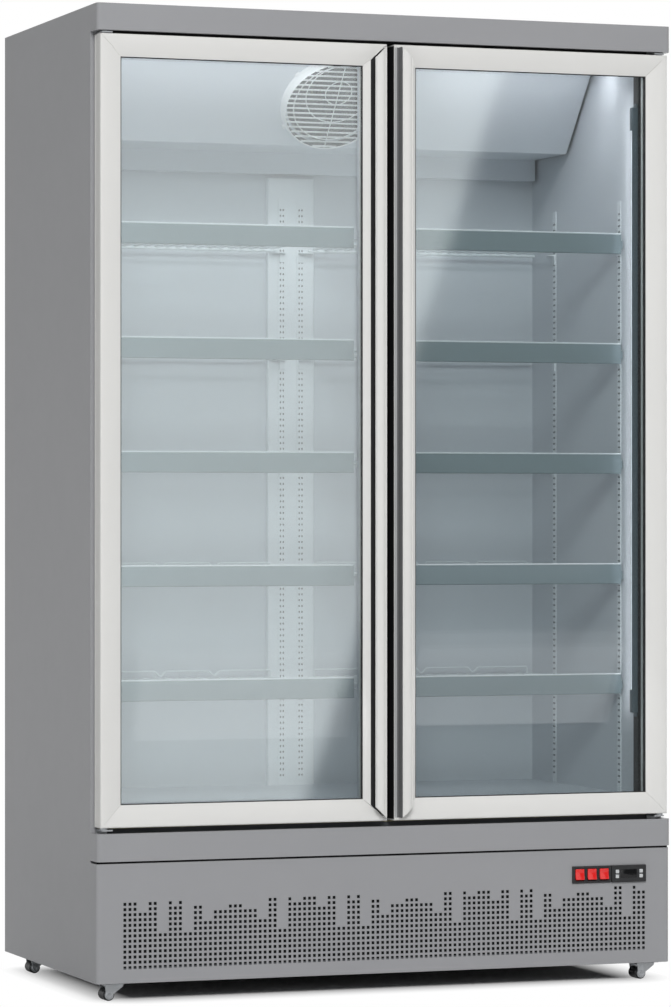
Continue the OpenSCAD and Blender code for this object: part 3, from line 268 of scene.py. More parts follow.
softBlack = skin("blackRubber", (35, 35, 36), 0.68, 700, 0.0002, 0.08, 0.06)
whitePlastic = skin("whiteGuardPlastic", (250, 251, 252), 0.34, 500, 0.00006, 0.012)
darkPlastic = skin("darkFanPlastic", (70, 75, 80), 0.45, 900, 0.00012, 0.04, 0.06)
redPlastic = skin("redRocker", (214, 26, 24), 0.2, 60, 0.00003, 0.05, coat=0.6,
                  glow=tone((190, 12, 10)), glowStrength=0.12)
keyPlastic = skin("buttonGrey", (196, 199, 201), 0.4, 900, 0.0001, 0.02)
zinc = spangled("galvanised", (176, 179, 182), 0.4, 70)
matBlack = foamed("filterMesh", (16, 16, 17))
steelGrey = skin("darkSteelPaint", (92, 95, 99), 0.5, 600, 0.0002, 0.05, 0.08)
shellBlack = skin("compressorPaint", (38, 40, 43), 0.32, 260, 0.0002, 0.08, 0.08)
copper = coppery("copperPipe")
foam = foamed("panelFoam", (232, 223, 174))
fins = finned("aluminiumFins", (190, 190, 184))
glass = clearGlass("doorGlass", (253, 255, 255), 1.8)
diffuser = glowing("lampDiffuser", (240, 243, 250), 1.2)
lampGrey = skin("lampHousing", (78, 90, 98), 0.42, 800, 0.0001, 0.03)
displayGlass = skin("displayWindow", (12, 13, 15), 0.1, 60, 0.00001, 0.04, 0.04)
print("finishes made")

# Each finish with what the names of its solids begin with; a later line wins
for material, *starts in [
        (paint, "side_panel", "back_panel", "top_panel", "header_fascia", "lower_fascia", "grille_panel"),
        (foam, "insulation"),
        (linerPaint, "inner_liner", "centre_post"),
        (coverPaint, "evaporator_cover"),
        (softBlack, "throat_frame", "left_door_seals", "right_door_seals", "caster_plates"),
        (steelGrey, "base_frame"),
        (zinc, "hinge_brackets", "shelf_standards", "caster_fork"),
        (whitePlastic, "fan_guard"),
        (fins, "evaporator_coil", "condenser"),
        (darkPlastic, "evaporator_fan", "condenser_fan"),
        (diffuser, "lamps"),
        (shellBlack, "compressor"),
        (blackPlastic, "drip_tray", "control_bezel", "thermostat", "caster_wheel"),
        (copper, "refrigerant_pipes"),
        (redPlastic, "rocker_switch"),
        (keyPlastic, "button_"),
        (glass, "left_door_glass", "right_door_glass"),
        (framePaint, "left_door_frame", "right_door_frame", "left_door_handle", "right_door_handle"),
        (railPaint, "shelf_left", "shelf_right")]:
    for name in nodes:
        if name.startswith(tuple(starts)):
            mesh = nodes[name].data
            mesh.materials.clear()
            mesh.materials.append(material)
print("solids dressed")


# The room round the cooler: a floor that keeps the shadow under the cooler and turns plain
# white over a band, by the distance from a rectangle within its footprint
floorFacts = {"radius": 4.6, "halfWidth": 0.53, "halfDepth": 0.27, "middle": 0.014, "band": 0.12,
              "pale": 0.96}


def makeFloor(s):
    f = Finish("studioFloor")
    x, y = (f.node("SeparateXYZ", {}, {0: f.place}, k) for k in range(2))
    overX = f.steps(x.math("ABSOLUTE", x) - s["halfWidth"], 0, 1)
    overY = f.steps(y.math("ABSOLUTE", y - s["middle"]) - s["halfDepth"], 0, 1)
    far = f.steps(x.math("SQRT", overX * overX + overY * overY), 0, s["band"])
    diffuse = f.node("BsdfDiffuse", {}, {"Color": (s["pale"],) * 3 + (1,)})
    white = f.node("Emission", {}, {"Color": (1, 1, 1, 1), "Strength": 1})
    seen = f.node("LightPath", {}, {}, "Is Camera Ray")
    mesh = bpy.data.meshes.new("floor")
    r = s["radius"]
    mesh.from_pydata([(-r, -r, 0), (r, -r, 0), (r, r, 0), (-r, r, 0)], [], [(0, 1, 2, 3)])
    mesh.materials.append(f.close(f.node("MixShader", {}, {0: far * seen, 1: diffuse, 2: white})))
    linked("floor", mesh)


# What gloss and glass mirror: a white wall up to the slanting edge x / -y = edge + lean * z / -y,
# with a small step in it at the horizon, then a dark one up to far
studio = {"level": 0.24, "white": 1.15, "dark": 0.12, "edge": 0.3725, "lean": 0.3406, "step": 0.0093,
          "stepped": (-0.02, 0.04), "soft": 0.0022, "far": 0.75, "farBand": 0.4}


# Plain white where the camera looks, and a plain level of light for everything else
def makeWorld(s):
    f = Finish("studio", True)
    way = f.node("TexCoord", out="Generated")
    x, y, z = (f.node("SeparateXYZ", {}, {0: way}, k) for k in range(3))
    across = x / (0 - y)
    height = z / (0 - y)
    past = across - height * s["lean"] - f.steps(height, *s["stepped"], s["step"], 0) - s["edge"]
    dark = f.steps(past, -s["soft"], s["soft"]) * f.steps(across, s["far"], s["far"] + s["farBand"], 1, 0)
    lit, bright, dim, white = (f.node("Background", {}, {"Color": (1, 1, 1, 1), "Strength": level})
                               for level in (s["level"], s["white"], s["dark"], 1))
    mirror = f.node("MixShader", {}, {0: dark, 1: bright, 2: dim})
    glossy = f.node("LightPath", {}, {}, "Is Glossy Ray")
    seen = f.node("LightPath", {}, {}, "Is Camera Ray")
    first = f.node("MixShader", {}, {0: glossy, 1: lit, 2: mirror})
    bpy.context.scene.world = f.close(f.node("MixShader", {}, {0: seen, 1: first, 2: white}))


makeFloor(floorFacts)
makeWorld(studio)
print("studio ready")


# Mesh tools. A shape is (points, list of face arrays); every size is in millimetres

# A skin over rows of points that are rings: quads join neighbours, and the first and last
# ring are capped unless the rows close on themselves
def tube(points, closed=False):
    rows, columns = points.shape[:2]
    i, j = np.meshgrid(np.arange(rows if closed else rows - 1), np.arange(columns), indexing="ij")
    nextI, nextJ = (i + 1) % rows, (j + 1) % columns
    corners = [i * columns + j, i * columns + nextJ, nextI * columns + nextJ, nextI * columns + j]
    faces = [np.stack(corners, -1).reshape(-1, 4)]
    if not closed:
        faces += [np.arange(columns)[None, ::-1], np.arange((rows - 1) * columns, rows * columns)[None]]
    return outward((points.reshape(-1, 3), faces))


# Six times the volume is the sum of each triangle's corner product; below zero, faces turn round
def outward(shape):
    points, faces = shape
    total = 0.0
    for group in faces:
        first = points[group[:, 0]]
        for k in range(1, group.shape[1] - 1):
            total += np.einsum("ij,ij->", first, np.cross(points[group[:, k]], points[group[:, k + 1]]))
    return (points, faces) if total >= 0 else (points, [group[:, ::-1] for group in faces])


# Several shapes as one: each one's corner numbers go up by the count of points before it
def together(*shapes):
    shifts = np.cumsum([0] + [len(points) for points, _ in shapes])
    return (np.vstack([points for points, _ in shapes]),
            [group + shift for (_, faces), shift in zip(shapes, shifts) for group in faces])


# Every point plus an offset
def moved(shape, by):
    return shape[0] + np.asarray(by, float), shape[1]


# On the left side x turns to -x, and the faces are turned outwards again
def flipped(shape, side):
    return outward((shape[0] * np.array([side, 1, 1]), shape[1])) if side < 0 else shape


# The same shape at each of several places
def copies(shape, places):
    points, faces = shape
    places = np.asarray(places, float)
    every = (points[None] + places[:, None]).reshape(-1, 3)
    shifts = (np.arange(len(places)) * len(points))[:, None, None]
    return every, [(group[None] + shifts).reshape(-1, group.shape[1]) for group in faces]


# Point (i, j) = origins[i] + profile[j][0] * across[i] + profile[j][1] * up[i]
def sweep(profile, origins, across, up, closed=False):
    profile, origins, across, up = (np.asarray(v, float) for v in (profile, origins, across, up))
    return tube(origins[:, None] + profile[None, :, :1] * across[:, None]
                + profile[None, :, 1:] * up[:, None], closed)


# An outline carried straight from one place to another
def extruded(outline, start, end, across=(0, 1, 0), up=(0, 0, 1)):
    return sweep(outline, [start, end], [across] * 2, [up] * 2)


# Points (radius cos a, radius sin a), with a in the middle of each of count equal steps
def circle(radius, count):
    angle = (np.arange(count) + 0.5) * 2 * np.pi / count
    return np.stack([radius * np.cos(angle), radius * np.sin(angle)], -1)


# A straight bar from one point to another; its ends are softened over a share of its radius
def bar(start, end, diameter, count=12, soft=0.35, tip=0.62):
    start, end = np.asarray(start, float), np.asarray(end, float)
    way = (end - start) / np.linalg.norm(end - start)
    side = np.cross(way, [0, 0, 1] if abs(way[2]) < 0.9 else [1, 0, 0])
    side /= np.linalg.norm(side)
    other = np.cross(way, side)
    inset = way * (soft * diameter / 2)
    share = np.array([tip, 1, 1, tip])[:, None]
    return sweep(circle(diameter / 2, count), [start, start + inset, end - inset, end],
                 side * share, other * share)


# Directions that keep an offset path's width through its corners: (left a + left b) / (1 + a.b)
def mitres(path, closed=False):
    path = np.asarray(path, float)
    step = np.diff(path, axis=0, append=path[:1])
    if not closed:
        step[-1] = step[-2]
    step /= np.linalg.norm(step, axis=1)[:, None]
    before = np.roll(step, 1, axis=0)
    if not closed:
        before[0] = step[0]
    left = np.stack([-step[:, 1] - before[:, 1], step[:, 0] + before[:, 0]], -1)
    return left / (1 + np.einsum("ij,ij->i", step, before))[:, None]


# A round wire along a path in X and Z
def wireAlong(path, origin, diameter, count=10):
    left = mitres(path)
    return sweep(circle(diameter / 2, count), np.asarray(origin, float) + np.insert(path, 1, 0, 1),
                 np.insert(left, 1, 0, 1), [(0, -1, 0)] * len(path))


# Corners of a path replaced by arcs: points on the arc of each radius between the two legs
def rounded(path, radii, steps=5, closed=False):
    path = np.asarray(path, float)
    n = len(path)
    out = []
    for k in range(n):
        if not closed and k in (0, n - 1) or radii[k] == 0:
            out.append(path[k])
            continue
        a = path[k - 1] - path[k]
        b = path[(k + 1) % n] - path[k]
        a, b = a / np.linalg.norm(a), b / np.linalg.norm(b)
        half = math.acos(np.clip(a @ b, -1, 1)) / 2
        centre = path[k] + (a + b) / np.linalg.norm(a + b) * radii[k] / math.sin(half)
        start = path[k] + a * radii[k] / math.tan(half) - centre
        end = path[k] + b * radii[k] / math.tan(half) - centre
        turn = math.atan2(start[0] * end[1] - start[1] * end[0], start @ end)
        angle = np.linspace(0, turn, steps + 1)
        out.extend(centre + np.stack([start[0] * np.cos(angle) - start[1] * np.sin(angle),
                                      start[0] * np.sin(angle) + start[1] * np.cos(angle)], -1))
    out = np.array(out)
    apart = np.linalg.norm(out - np.roll(out, 1, axis=0), axis=1) > 1e-6
    return out[apart]


# A thin strip's outline: the path and the same path moved sideways by the thickness
def strip(path, thickness):
    return np.vstack([path, (path + thickness * mitres(path))[::-1]])


# The outline of a rectangle, plain or with rounded corners
def rectangle(x0, y0, x1, y1, radius=0):
    corners = [(x0, y0), (x1, y0), (x1, y1), (x0, y1)]
    return rounded(corners, [radius] * 4, 4, True) if radius else corners


# A block with rounded corners in its front view and rounded rims: rings of one rounded
# rectangle, drawn in by edge * (1 - sin) where the depth is edge * (1 - cos)
def softBlock(low, high, corner, edge, axis=1, steps=5, rimSteps=5):
    low, high = np.asarray(low, float), np.asarray(high, float)
    flat = [k for k in range(3) if k != axis]
    turns = np.concatenate([np.linspace(0, np.pi / 2, steps + 1) + k * np.pi / 2 for k in range(4)])
    ways = np.stack([np.cos(turns), np.sin(turns)], -1)
    signs = np.repeat([[1, 1], [-1, 1], [-1, -1], [1, -1]], steps + 1, axis=0)
    t = np.linspace(0, np.pi / 2, rimSteps)
    inset, depth = edge * (1 - np.sin(t)), edge * (1 - np.cos(t))
    inset = np.concatenate([inset, inset[::-1]])[:, None, None]
    points = np.zeros((2 * rimSteps, len(turns), 3))
    points[..., flat] = ((low + high)[flat] / 2 + signs * ((high - low)[flat] / 2 - corner)
                         + (corner - inset) * ways)
    points[..., axis] = np.concatenate([low[axis] + depth, high[axis] - depth[::-1]])[:, None]
    return tube(points)


# A punched sheet on a lattice in X and Z: a solid cell has a front and a back face, and a wall
# stands wherever a solid cell meets an empty one
def punched(xs, zs, solid, front, back):
    nx, nz = len(xs), len(zs)
    x, z = np.meshgrid(xs, zs, indexing="ij")
    layers = [np.stack([x, np.full(x.shape, y), z], -1).reshape(-1, 3) for y in (front, back)]
    index = np.arange(2 * nx * nz).reshape(2, nx, nz)
    i, j = np.nonzero(solid)
    cells = np.stack([index[:, i, j], index[:, i + 1, j], index[:, i + 1, j + 1], index[:, i, j + 1]], -1)
    faces = [cells[0], cells[1][:, [0, 3, 2, 1]]]
    padded = np.pad(solid, 1)
    for axis in (0, 1):
        here = padded[1:, 1:-1] if axis == 0 else padded[1:-1, 1:]
        before = padded[:-1, 1:-1] if axis == 0 else padded[1:-1, :-1]
        for wall, turned in ((before & ~here, axis == 1), (here & ~before, axis == 0)):
            i, j = np.nonzero(wall)
            i2, j2 = (i, j + 1) if axis == 0 else (i + 1, j)
            quad = np.stack([index[0, i, j], index[1, i, j], index[1, i2, j2], index[0, i2, j2]], -1)
            faces.append(quad[:, ::-1] if turned else quad)
    return np.vstack(layers), [group for group in faces if len(group)]


# Puts shapes, less the points that no face uses, into one object on a body; shapes drawn for
# the right side are mirrored for the left; sharper edges than the angle stay sharp
def addPiece(name, shapes, body, replaced, side=1, angle=32):
    mesh = bpy.data.meshes.new(name)
    points, groups = together(*(flipped(shape, side) for shape, material in shapes))
    used = np.unique(np.concatenate([group.ravel() for group in groups]))
    lookup = np.zeros(len(points), int)
    lookup[used] = np.arange(len(used))
    faces = [face for group in groups for face in lookup[group].tolist()]
    mesh.from_pydata((points[used] * millimetre).tolist(), [], faces)
    marks = [[k] * len(group) for k, (shape, material) in enumerate(shapes) for group in shape[1]]
    mesh.polygons.foreach_set("material_index", sum(marks, []))
    mesh.polygons.foreach_set("use_smooth", [True] * len(mesh.polygons))
    for shape, material in shapes:
        mesh.materials.append(material)
    mesh.set_sharp_from_angle(angle=math.radians(angle))
    mesh.update()
    piece = linked(name, mesh)
    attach(piece, body)
    if replaced:
        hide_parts(*replaced)


# The grille in front of the machine room

grille = {"front": -323.5, "back": -281, "low": 37, "high": 276.5, "half": 626.5, "corner": 9,
          "sheet": 1, "hole": 6.2, "pitch": 10.6, "lowest": 68, "lip": 12,
          "steps": [13, 13, 13, 11, 11, 13, 13, 7, 7, 13, 12, 13, 7, 7, 12, 12, 9, 9,
                    11, 11, 11, 12, 12, 12, 11, 11, 11, 9, 9, 13, 13, 7, 7, 13, 12, 12],
          "cuts": [(407.2, 489.8), (493.2, 564.8)], "cutHeight": [210.2, 239.8]}


# The steps say how many holes each column has, three times over; the cuts are for the controls
def makeGrille(g):
    front, low, high, sheet = g["front"], g["low"], g["high"], g["sheet"]
    columns = 3 * len(g["steps"])
    middles = (np.arange(columns) - (columns - 1) / 2) * g["pitch"]
    rows = g["lowest"] + np.arange(max(g["steps"])) * g["pitch"]
    half = g["half"] - g["corner"]
    h = g["hole"] / 2
    xs = np.unique(np.concatenate([[-half, half], middles - h, middles + h, np.ravel(g["cuts"])]))
    zs = np.unique(np.concatenate([[low, high], rows - h, rows + h, g["cutHeight"]]))
    cx, cz = (xs[1:] + xs[:-1]) / 2, (zs[1:] + zs[:-1]) / 2
    column = np.abs(cx[:, None] - middles).argmin(1)
    row = np.abs(cz[:, None] - rows).argmin(1)
    inColumn, inRow = np.abs(cx - middles[column]) < h, np.abs(cz - rows[row]) < h
    holes = inColumn[:, None] & inRow & (row < np.tile(g["steps"], 3)[column][:, None])
    for x0, x1 in g["cuts"]:
        holes |= ((cx > x0) & (cx < x1))[:, None] & (cz > g["cutHeight"][0]) & (cz < g["cutHeight"][1])
    parts = [punched(xs, zs, ~holes, front, front + sheet)]
    # The bent ends run from the flat face round the corner to the body
    path = rounded([(half, front), (g["half"], front), (g["half"], g["back"])], [0, g["corner"], 0], 10)
    for side in (-1, 1):
        parts.append(extruded(strip(path, sheet), (0, 0, low), (0, 0, high), (side, 0, 0), (0, 1, 0)))
    # The lip that is folded back along the top
    lip = rectangle(front + sheet, high - sheet, front + g["lip"], high)
    parts.append(extruded(lip, (-half, 0, 0), (half, 0, 0)))
    addPiece("punchedGrille", [(together(*parts), paint)], "cabinet", ["grille_panel"])


makeGrille(grille)

filterMat = {"half": 624, "low": 45, "high": 280.5, "front": -317, "thick": 2.4, "hole": (398, 574, 204, 247)}


# The black filter mat behind the punched sheet, cut out round the controls
def makeMat(m):
    x0, x1, z0, z1 = m["hole"]
    solid = np.ones((3, 3), bool)
    solid[1, 1] = False
    sheet = punched([-m["half"], x0, x1, m["half"]], [m["low"], z0, z1, m["high"]],
                    solid, m["front"], m["front"] + m["thick"])
    addPiece("filterMat", [(sheet, matBlack)], "cabinet", ())


makeMat(filterMat)
print("grille punched")


# The doors

door = {"edge": 7.5, "width": 612, "height": 1588, "low": 348.5, "front": -328,
        "thick": 42, "rail": 45, "stile": 50, "fall": 9, "round": 3, "lip": 12,
        "pocket": 14, "glazing": 20, "hairline": 0.22,
        "handleIn": 8.5, "handleOut": 27, "handleWidth": 24.5, "handleWall": 3,
        "handleEnd": 6, "ribs": 9, "ribDepth": 1, "crown": 4.4, "bead": 1.3, "gripFoot": 2.6}


# Section of a frame bar, u in from the outer side, v back from the front: the front falls as
# fall * s squared from its level part to the glass
def frameSection(d, width, level):
    thick, fall, lip, glazing, nose = d["thick"], d["fall"], d["lip"], d["lip"] + d["glazing"], 1.2
    turn = np.linspace(0, np.pi / 2, 7)
    corner = np.stack([d["round"] * (1 - np.cos(turn)), d["round"] * (1 - np.sin(turn))], -1)
    s = np.linspace(0, 1, 19)[0 if level > d["round"] else 1:]
    front = np.stack([level + (width - nose - level) * s, fall * s ** 2], -1)
    turn = np.linspace(0, np.pi / 2, 5)[1:]
    end = np.stack([width - nose + nose * np.sin(turn), fall + nose * (1 - np.cos(turn))], -1)
    inner = width - d["pocket"]
    return np.vstack([[(0.6, thick), (0, thick - 0.6), (0, 34), (1.2, 33), (1.2, 31), (0, 30)],
                      corner, front, end,
                      [(width, lip), (inner, lip), (inner, glazing), (width - 3, glazing),
                       (width - 3, thick - 0.6), (width - 3.6, thick)]])


# A door drawn for the right: x from its meeting edge, y back from its front, z up from its foot
def makeDoor(d, name, side):
    w, h, g, s, gap = d["width"], d["height"], d["rail"], d["stile"], d["hairline"]
    start, end, out, wide, t = (d["handle" + key] for key in ("In", "End", "Out", "Width", "Wall"))

    def hung(kind, *shapes):
        addPiece(f"{name}Door{kind}", [(moved(shape, (d["edge"], d["front"], d["low"])), material)
                                       for shape, material in shapes],
                 f"{name}_door", [f"{name}_door_{kind.lower()}"], side)

    def upright(outline, low):
        return extruded(outline, (0, 0, low), (0, 0, h - low), (1, 0, 0), (0, 1, 0))

    # A mitred bar: profile point (u, v) starts at first + u * firstWay and ends at last + u * lastWay
    def mitredBar(section, first, firstWay, last, lastWay):
        return sweep(section, [first, last], [firstWay, lastWay], [[0, 1, 0]] * 2)

    rail = frameSection(d, g, d["round"])
    stile = frameSection(d, s, start + wide - 6)
    lean = s / g
    bars = [mitredBar(rail, (gap, 0, 0), (lean, 0, 1), (w - gap, 0, 0), (-1, 0, 1)),
            mitredBar(rail, (gap, 0, h), (lean, 0, -1), (w - gap, 0, h), (-1, 0, -1)),
            mitredBar(stile, (0, 0, gap), (1, 0, 1 / lean), (0, 0, h - gap), (1, 0, -1 / lean)),
            mitredBar(rail, (w, 0, gap), (-1, 0, 1), (w, 0, h - gap), (-1, 0, -1))]
    # The black insert that covers the joint between the glass and the frame
    path = rectangle(s - 0.5, g - 0.5, w - g + 0.5, h - g + 0.5)
    insert = sweep([(0, -1.6), (2.2, -1.0), (2.6, 0.2), (0, 0.2)], [(x, d["lip"] - 0.3, z) for x, z in path],
                   [(a, 0, b) for a, b in mitres(path, True)], [(0, 1, 0)] * 4, True)
    # A black edging on the meeting side, and a grey strip from there to the handle that paints the handle's
    # shade on the door's front
    edging = upright([(0.1, 2.2), (-0.35, 2.6), (-0.35, 40.5), (0.1, 41)], 3)
    handleShadeStrip = upright([(1.4, 0.4), (1.6, -0.5), (start - 0.2, -0.5), (start - 0.2, 0.4)], end)
    hung("Frame", (together(*bars), framePaint), (together(insert, edging), softBlack), (handleShadeStrip, handleShadeGrey))
    # The handle: a folded wall whose lip is arched between two beads
    base, foot = 1.2, 18.4
    lipLow, lipHigh = d["crown"] - out, d["crown"] - d["bead"] - out
    arch = [((base + wide) / 2 + c * ((wide - base) / 2 - 2.3), d["crown"] * c ** 2 - out)
            for c in np.linspace(-1, 1, 13)]
    outer = rounded([(foot, 0), (base, 0), (base, lipHigh), (base + 1.3, lipHigh), *arch,
                     (wide - 1.3, lipHigh), (wide, lipHigh), (wide, 9 - out)],
                    [0, 0, 0.6, 0.5, *[0] * 13, 0.5, 0.6, 0], 4)
    inner = rounded([(wide - t, 9 - out), (wide - t, t + lipLow), (base + t, t + lipLow), (base + t, -t),
                     (foot, -t)], [0, 0.8, 1.4, 1.2, 0], 4)
    # The ribbed grip strip, whose ends draw in towards the door
    wave = np.linspace(0, d["ribs"], d["ribs"] * 6 + 1)
    grip = np.vstack([[(base + 0.2, 0), (-d["gripFoot"], 0), (-d["gripFoot"], -0.9), (0.2, -1.6)],
                      np.stack([base - d["ribDepth"] * np.abs(np.sin(np.pi * wave)) ** 0.6,
                                -wave * ((out - 3.4) / d["ribs"])], -1)[4:], [(base + 0.2, 3.4 - out)]])
    ends = end + np.array([0.5, 1.3, 2.9, 5.5])
    draw = np.array([0.80, 0.90, 0.97, 1, 1, 0.97, 0.90, 0.80])[:, None]
    strips = sweep(grip, [(start, 0, z) for z in (*ends, *(h - ends[::-1]))], [(1, 0, 0)] * 8,
                   draw * [[0, 1, 0]])
    # A black lining that paints the shade in the channel: along the wall, and over the frame under the lip
    near, deep = wide - t - 0.4, t + lipLow
    lining = [(near, deep + 0.2), (base + t + 0.2, deep + 0.2), (base + t + 0.2, -t - 0.2), (foot, -t - 0.2),
              (18.6, -0.3), (wide + 3, -0.3), (wide + 3, 0.4), (18.2, 0.4), (18.0, -t), (base + t, -t),
              (base + t, deep), (near, deep)]

    # Both ends are cut to mitres: the further out along the door, the higher the foot
    def cut(profile):
        u, v = np.asarray(profile).T
        foot = end + u
        return tube(np.array([np.stack([start + u, v, z], -1) for z in (foot, h - foot)]))

    fold = cut(np.vstack([outer, inner]))
    # The black lining is painted shade in the channel and under the lip
    hung("Handle", (fold, framePaint), (strips, gripPaint), (cut(lining), softBlack))


for name, side in sides.items():
    makeDoor(door, name, side)
print("doors framed")


# The wire shelves

shelf = {"first": 638.5, "pitch": 233, "count": 5, "inner": 34, "outer": 569.5, "front": -203,
         "depth": 482, "railHeight": 44, "railSheet": 1.5, "railLip": 9, "drop": 16,
         "wire": 4, "cross": 6, "wirePitch": 24, "stopHeight": 17, "notchPitch": 122, "rolledEdge": 3.2,
         "stopWire": 3.4, "crossIn": (24, 9)}


# A shelf drawn for the right: wire k lies at first + k * pitch, and the row is centred in the rail
def makeShelf(s, name, side, number):
    top = s["first"] + (number - 1) * s["pitch"]
    x0, x1, front, back, pitch = s["inner"], s["outer"], s["front"], s["front"] + s["depth"], s["wirePitch"]
    # The folded rail, its rolled top edge and an end tab; the rolled edge takes the white standards' paint, a
    # painted highlight along the rail's top
    lip, low = front + s["railLip"], top - s["railHeight"]
    path = rounded([(lip, top - 0.6), (front, top - 0.2), (front, low), (lip, low)], [0, 2.4, 2.4, 0], 5)
    rail = extruded(strip(path, s["railSheet"]), (x0, 0, 0), (x1, 0, 0))
    edge = bar((x0 + 1, front + 0.7, top - 1.5), (x1 - 1, front + 0.7, top - 1.5), s["rolledEdge"])
    tab = softBlock((x1 - 2, front + 1, top - 34), (x1 + 4, front + 7, top - 16), 1.5, 0.5, 1, 3)
    # Wires from front to back on three cross wires
    crossIn = s["crossIn"]
    count = int((x1 - x0 - 12) / pitch)
    first = (x0 + x1 - count * pitch) / 2
    last = first + count * pitch
    longZ = top - s["drop"] - s["wire"] / 2
    crossZ = longZ - (s["wire"] + s["cross"]) / 2 + 0.4
    wire = bar((0, front + 1.3, longZ), (0, back, longZ), s["wire"], 10)
    cross = bar((x0 + 0.5, 0, crossZ), (x1 - 0.5, 0, crossZ), s["cross"])
    # The back stop rises at the ends and dips in notches to the wires
    notches = int((last - first - 40) / s["notchPitch"])
    start = first + (last - first - (notches - 1) * s["notchPitch"]) / 2
    rise = s["stopHeight"] - 1.5
    dip = rise - 3
    corners = [(first, 0), (first, rise)]
    for x in start + np.arange(notches) * s["notchPitch"]:
        corners += [(x - dip, rise), (x, rise - dip), (x + dip, rise)]
    corners += [(last, rise), (last, 0)]
    stopPath = rounded(corners, [0] + [4.0] * (len(corners) - 2) + [0], 4)
    wires = together(copies(wire, [(first + k * pitch, 0, 0) for k in range(count + 1)]),
                     copies(cross, [(0, front + crossIn[0], 0), (0, front + s["depth"] / 2, 0),
                                    (0, back - crossIn[1], 0)]),
                     wireAlong(stopPath, (0, back - 1.6, longZ), s["stopWire"]))
    # The rolled edge in the standards' white paint is a painted highlight on the grey rail
    addPiece(f"{name}Shelf{number}",
             [(together(rail, tab), railPaint), (wires, wirePaint), (edge, standardPaint)],
             "cabinet", [f"shelf_{name}_{number}"], side)


for name, side in sides.items():
    for number in range(1, shelf["count"] + 1):
        makeShelf(shelf, name, side, number)
print("shelves hung")


# The slotted standards, the spine on the back wall and the shelf clips

standard = {"width": 17, "sheet": 1.5, "low": 384, "height": 1256, "spineHeight": 1323,
            "slotWidth": 2.9, "slotHeight": 4, "slotIn": 1.8, "slotPitch": 12.7, "x": 21.6, "frontY": -179,
            "rearY": 172, "wall": 576.5, "spineX": 53.5, "spineBack": 300, "spineDepth": 15,
            "postY": -221, "clipWidth": 12, "clipLength": 18, "clipHeight": 22, "clipSheet": 2.5,
            "armReach": 22, "postClip": 46.4, "weld": 0.25, "gap": 0.05, "slotEnd": 20, "hollowEnd": 10,
            "hollow": 6, "backTaller": 22, "wideSlots": {"slotIn": 0.8, "slotWidth": 4.8}}


# Two columns of slots in a strip that faces -Y
def slottedStrip(s, height):
    lows = s["slotEnd"] + np.arange(int((height - 1.5 * s["slotEnd"]) / s["slotPitch"])) * s["slotPitch"]
    zs = np.unique(np.concatenate([[0, height], lows, lows + s["slotHeight"]]))
    a, b, half = s["slotIn"], s["slotIn"] + s["slotWidth"], s["width"] / 2
    cz = (zs[1:, None] + zs[:-1, None]) / 2
    solid = np.ones((5, len(zs) - 1), bool)
    solid[[1, 3]] = ~((cz > lows) & (cz < lows + s["slotHeight"])).any(1)
    return punched([-half, -b, -a, a, b, half], zs, solid, 0.0, s["sheet"])


# Quarter turns about Z for a shape drawn facing -Y: one turn makes it face +X
def quarter(shape, turns):
    points = shape[0]
    for _ in range(turns):
        points = np.stack([-points[:, 1], points[:, 0], points[:, 2]], -1)
    return points, shape[1]


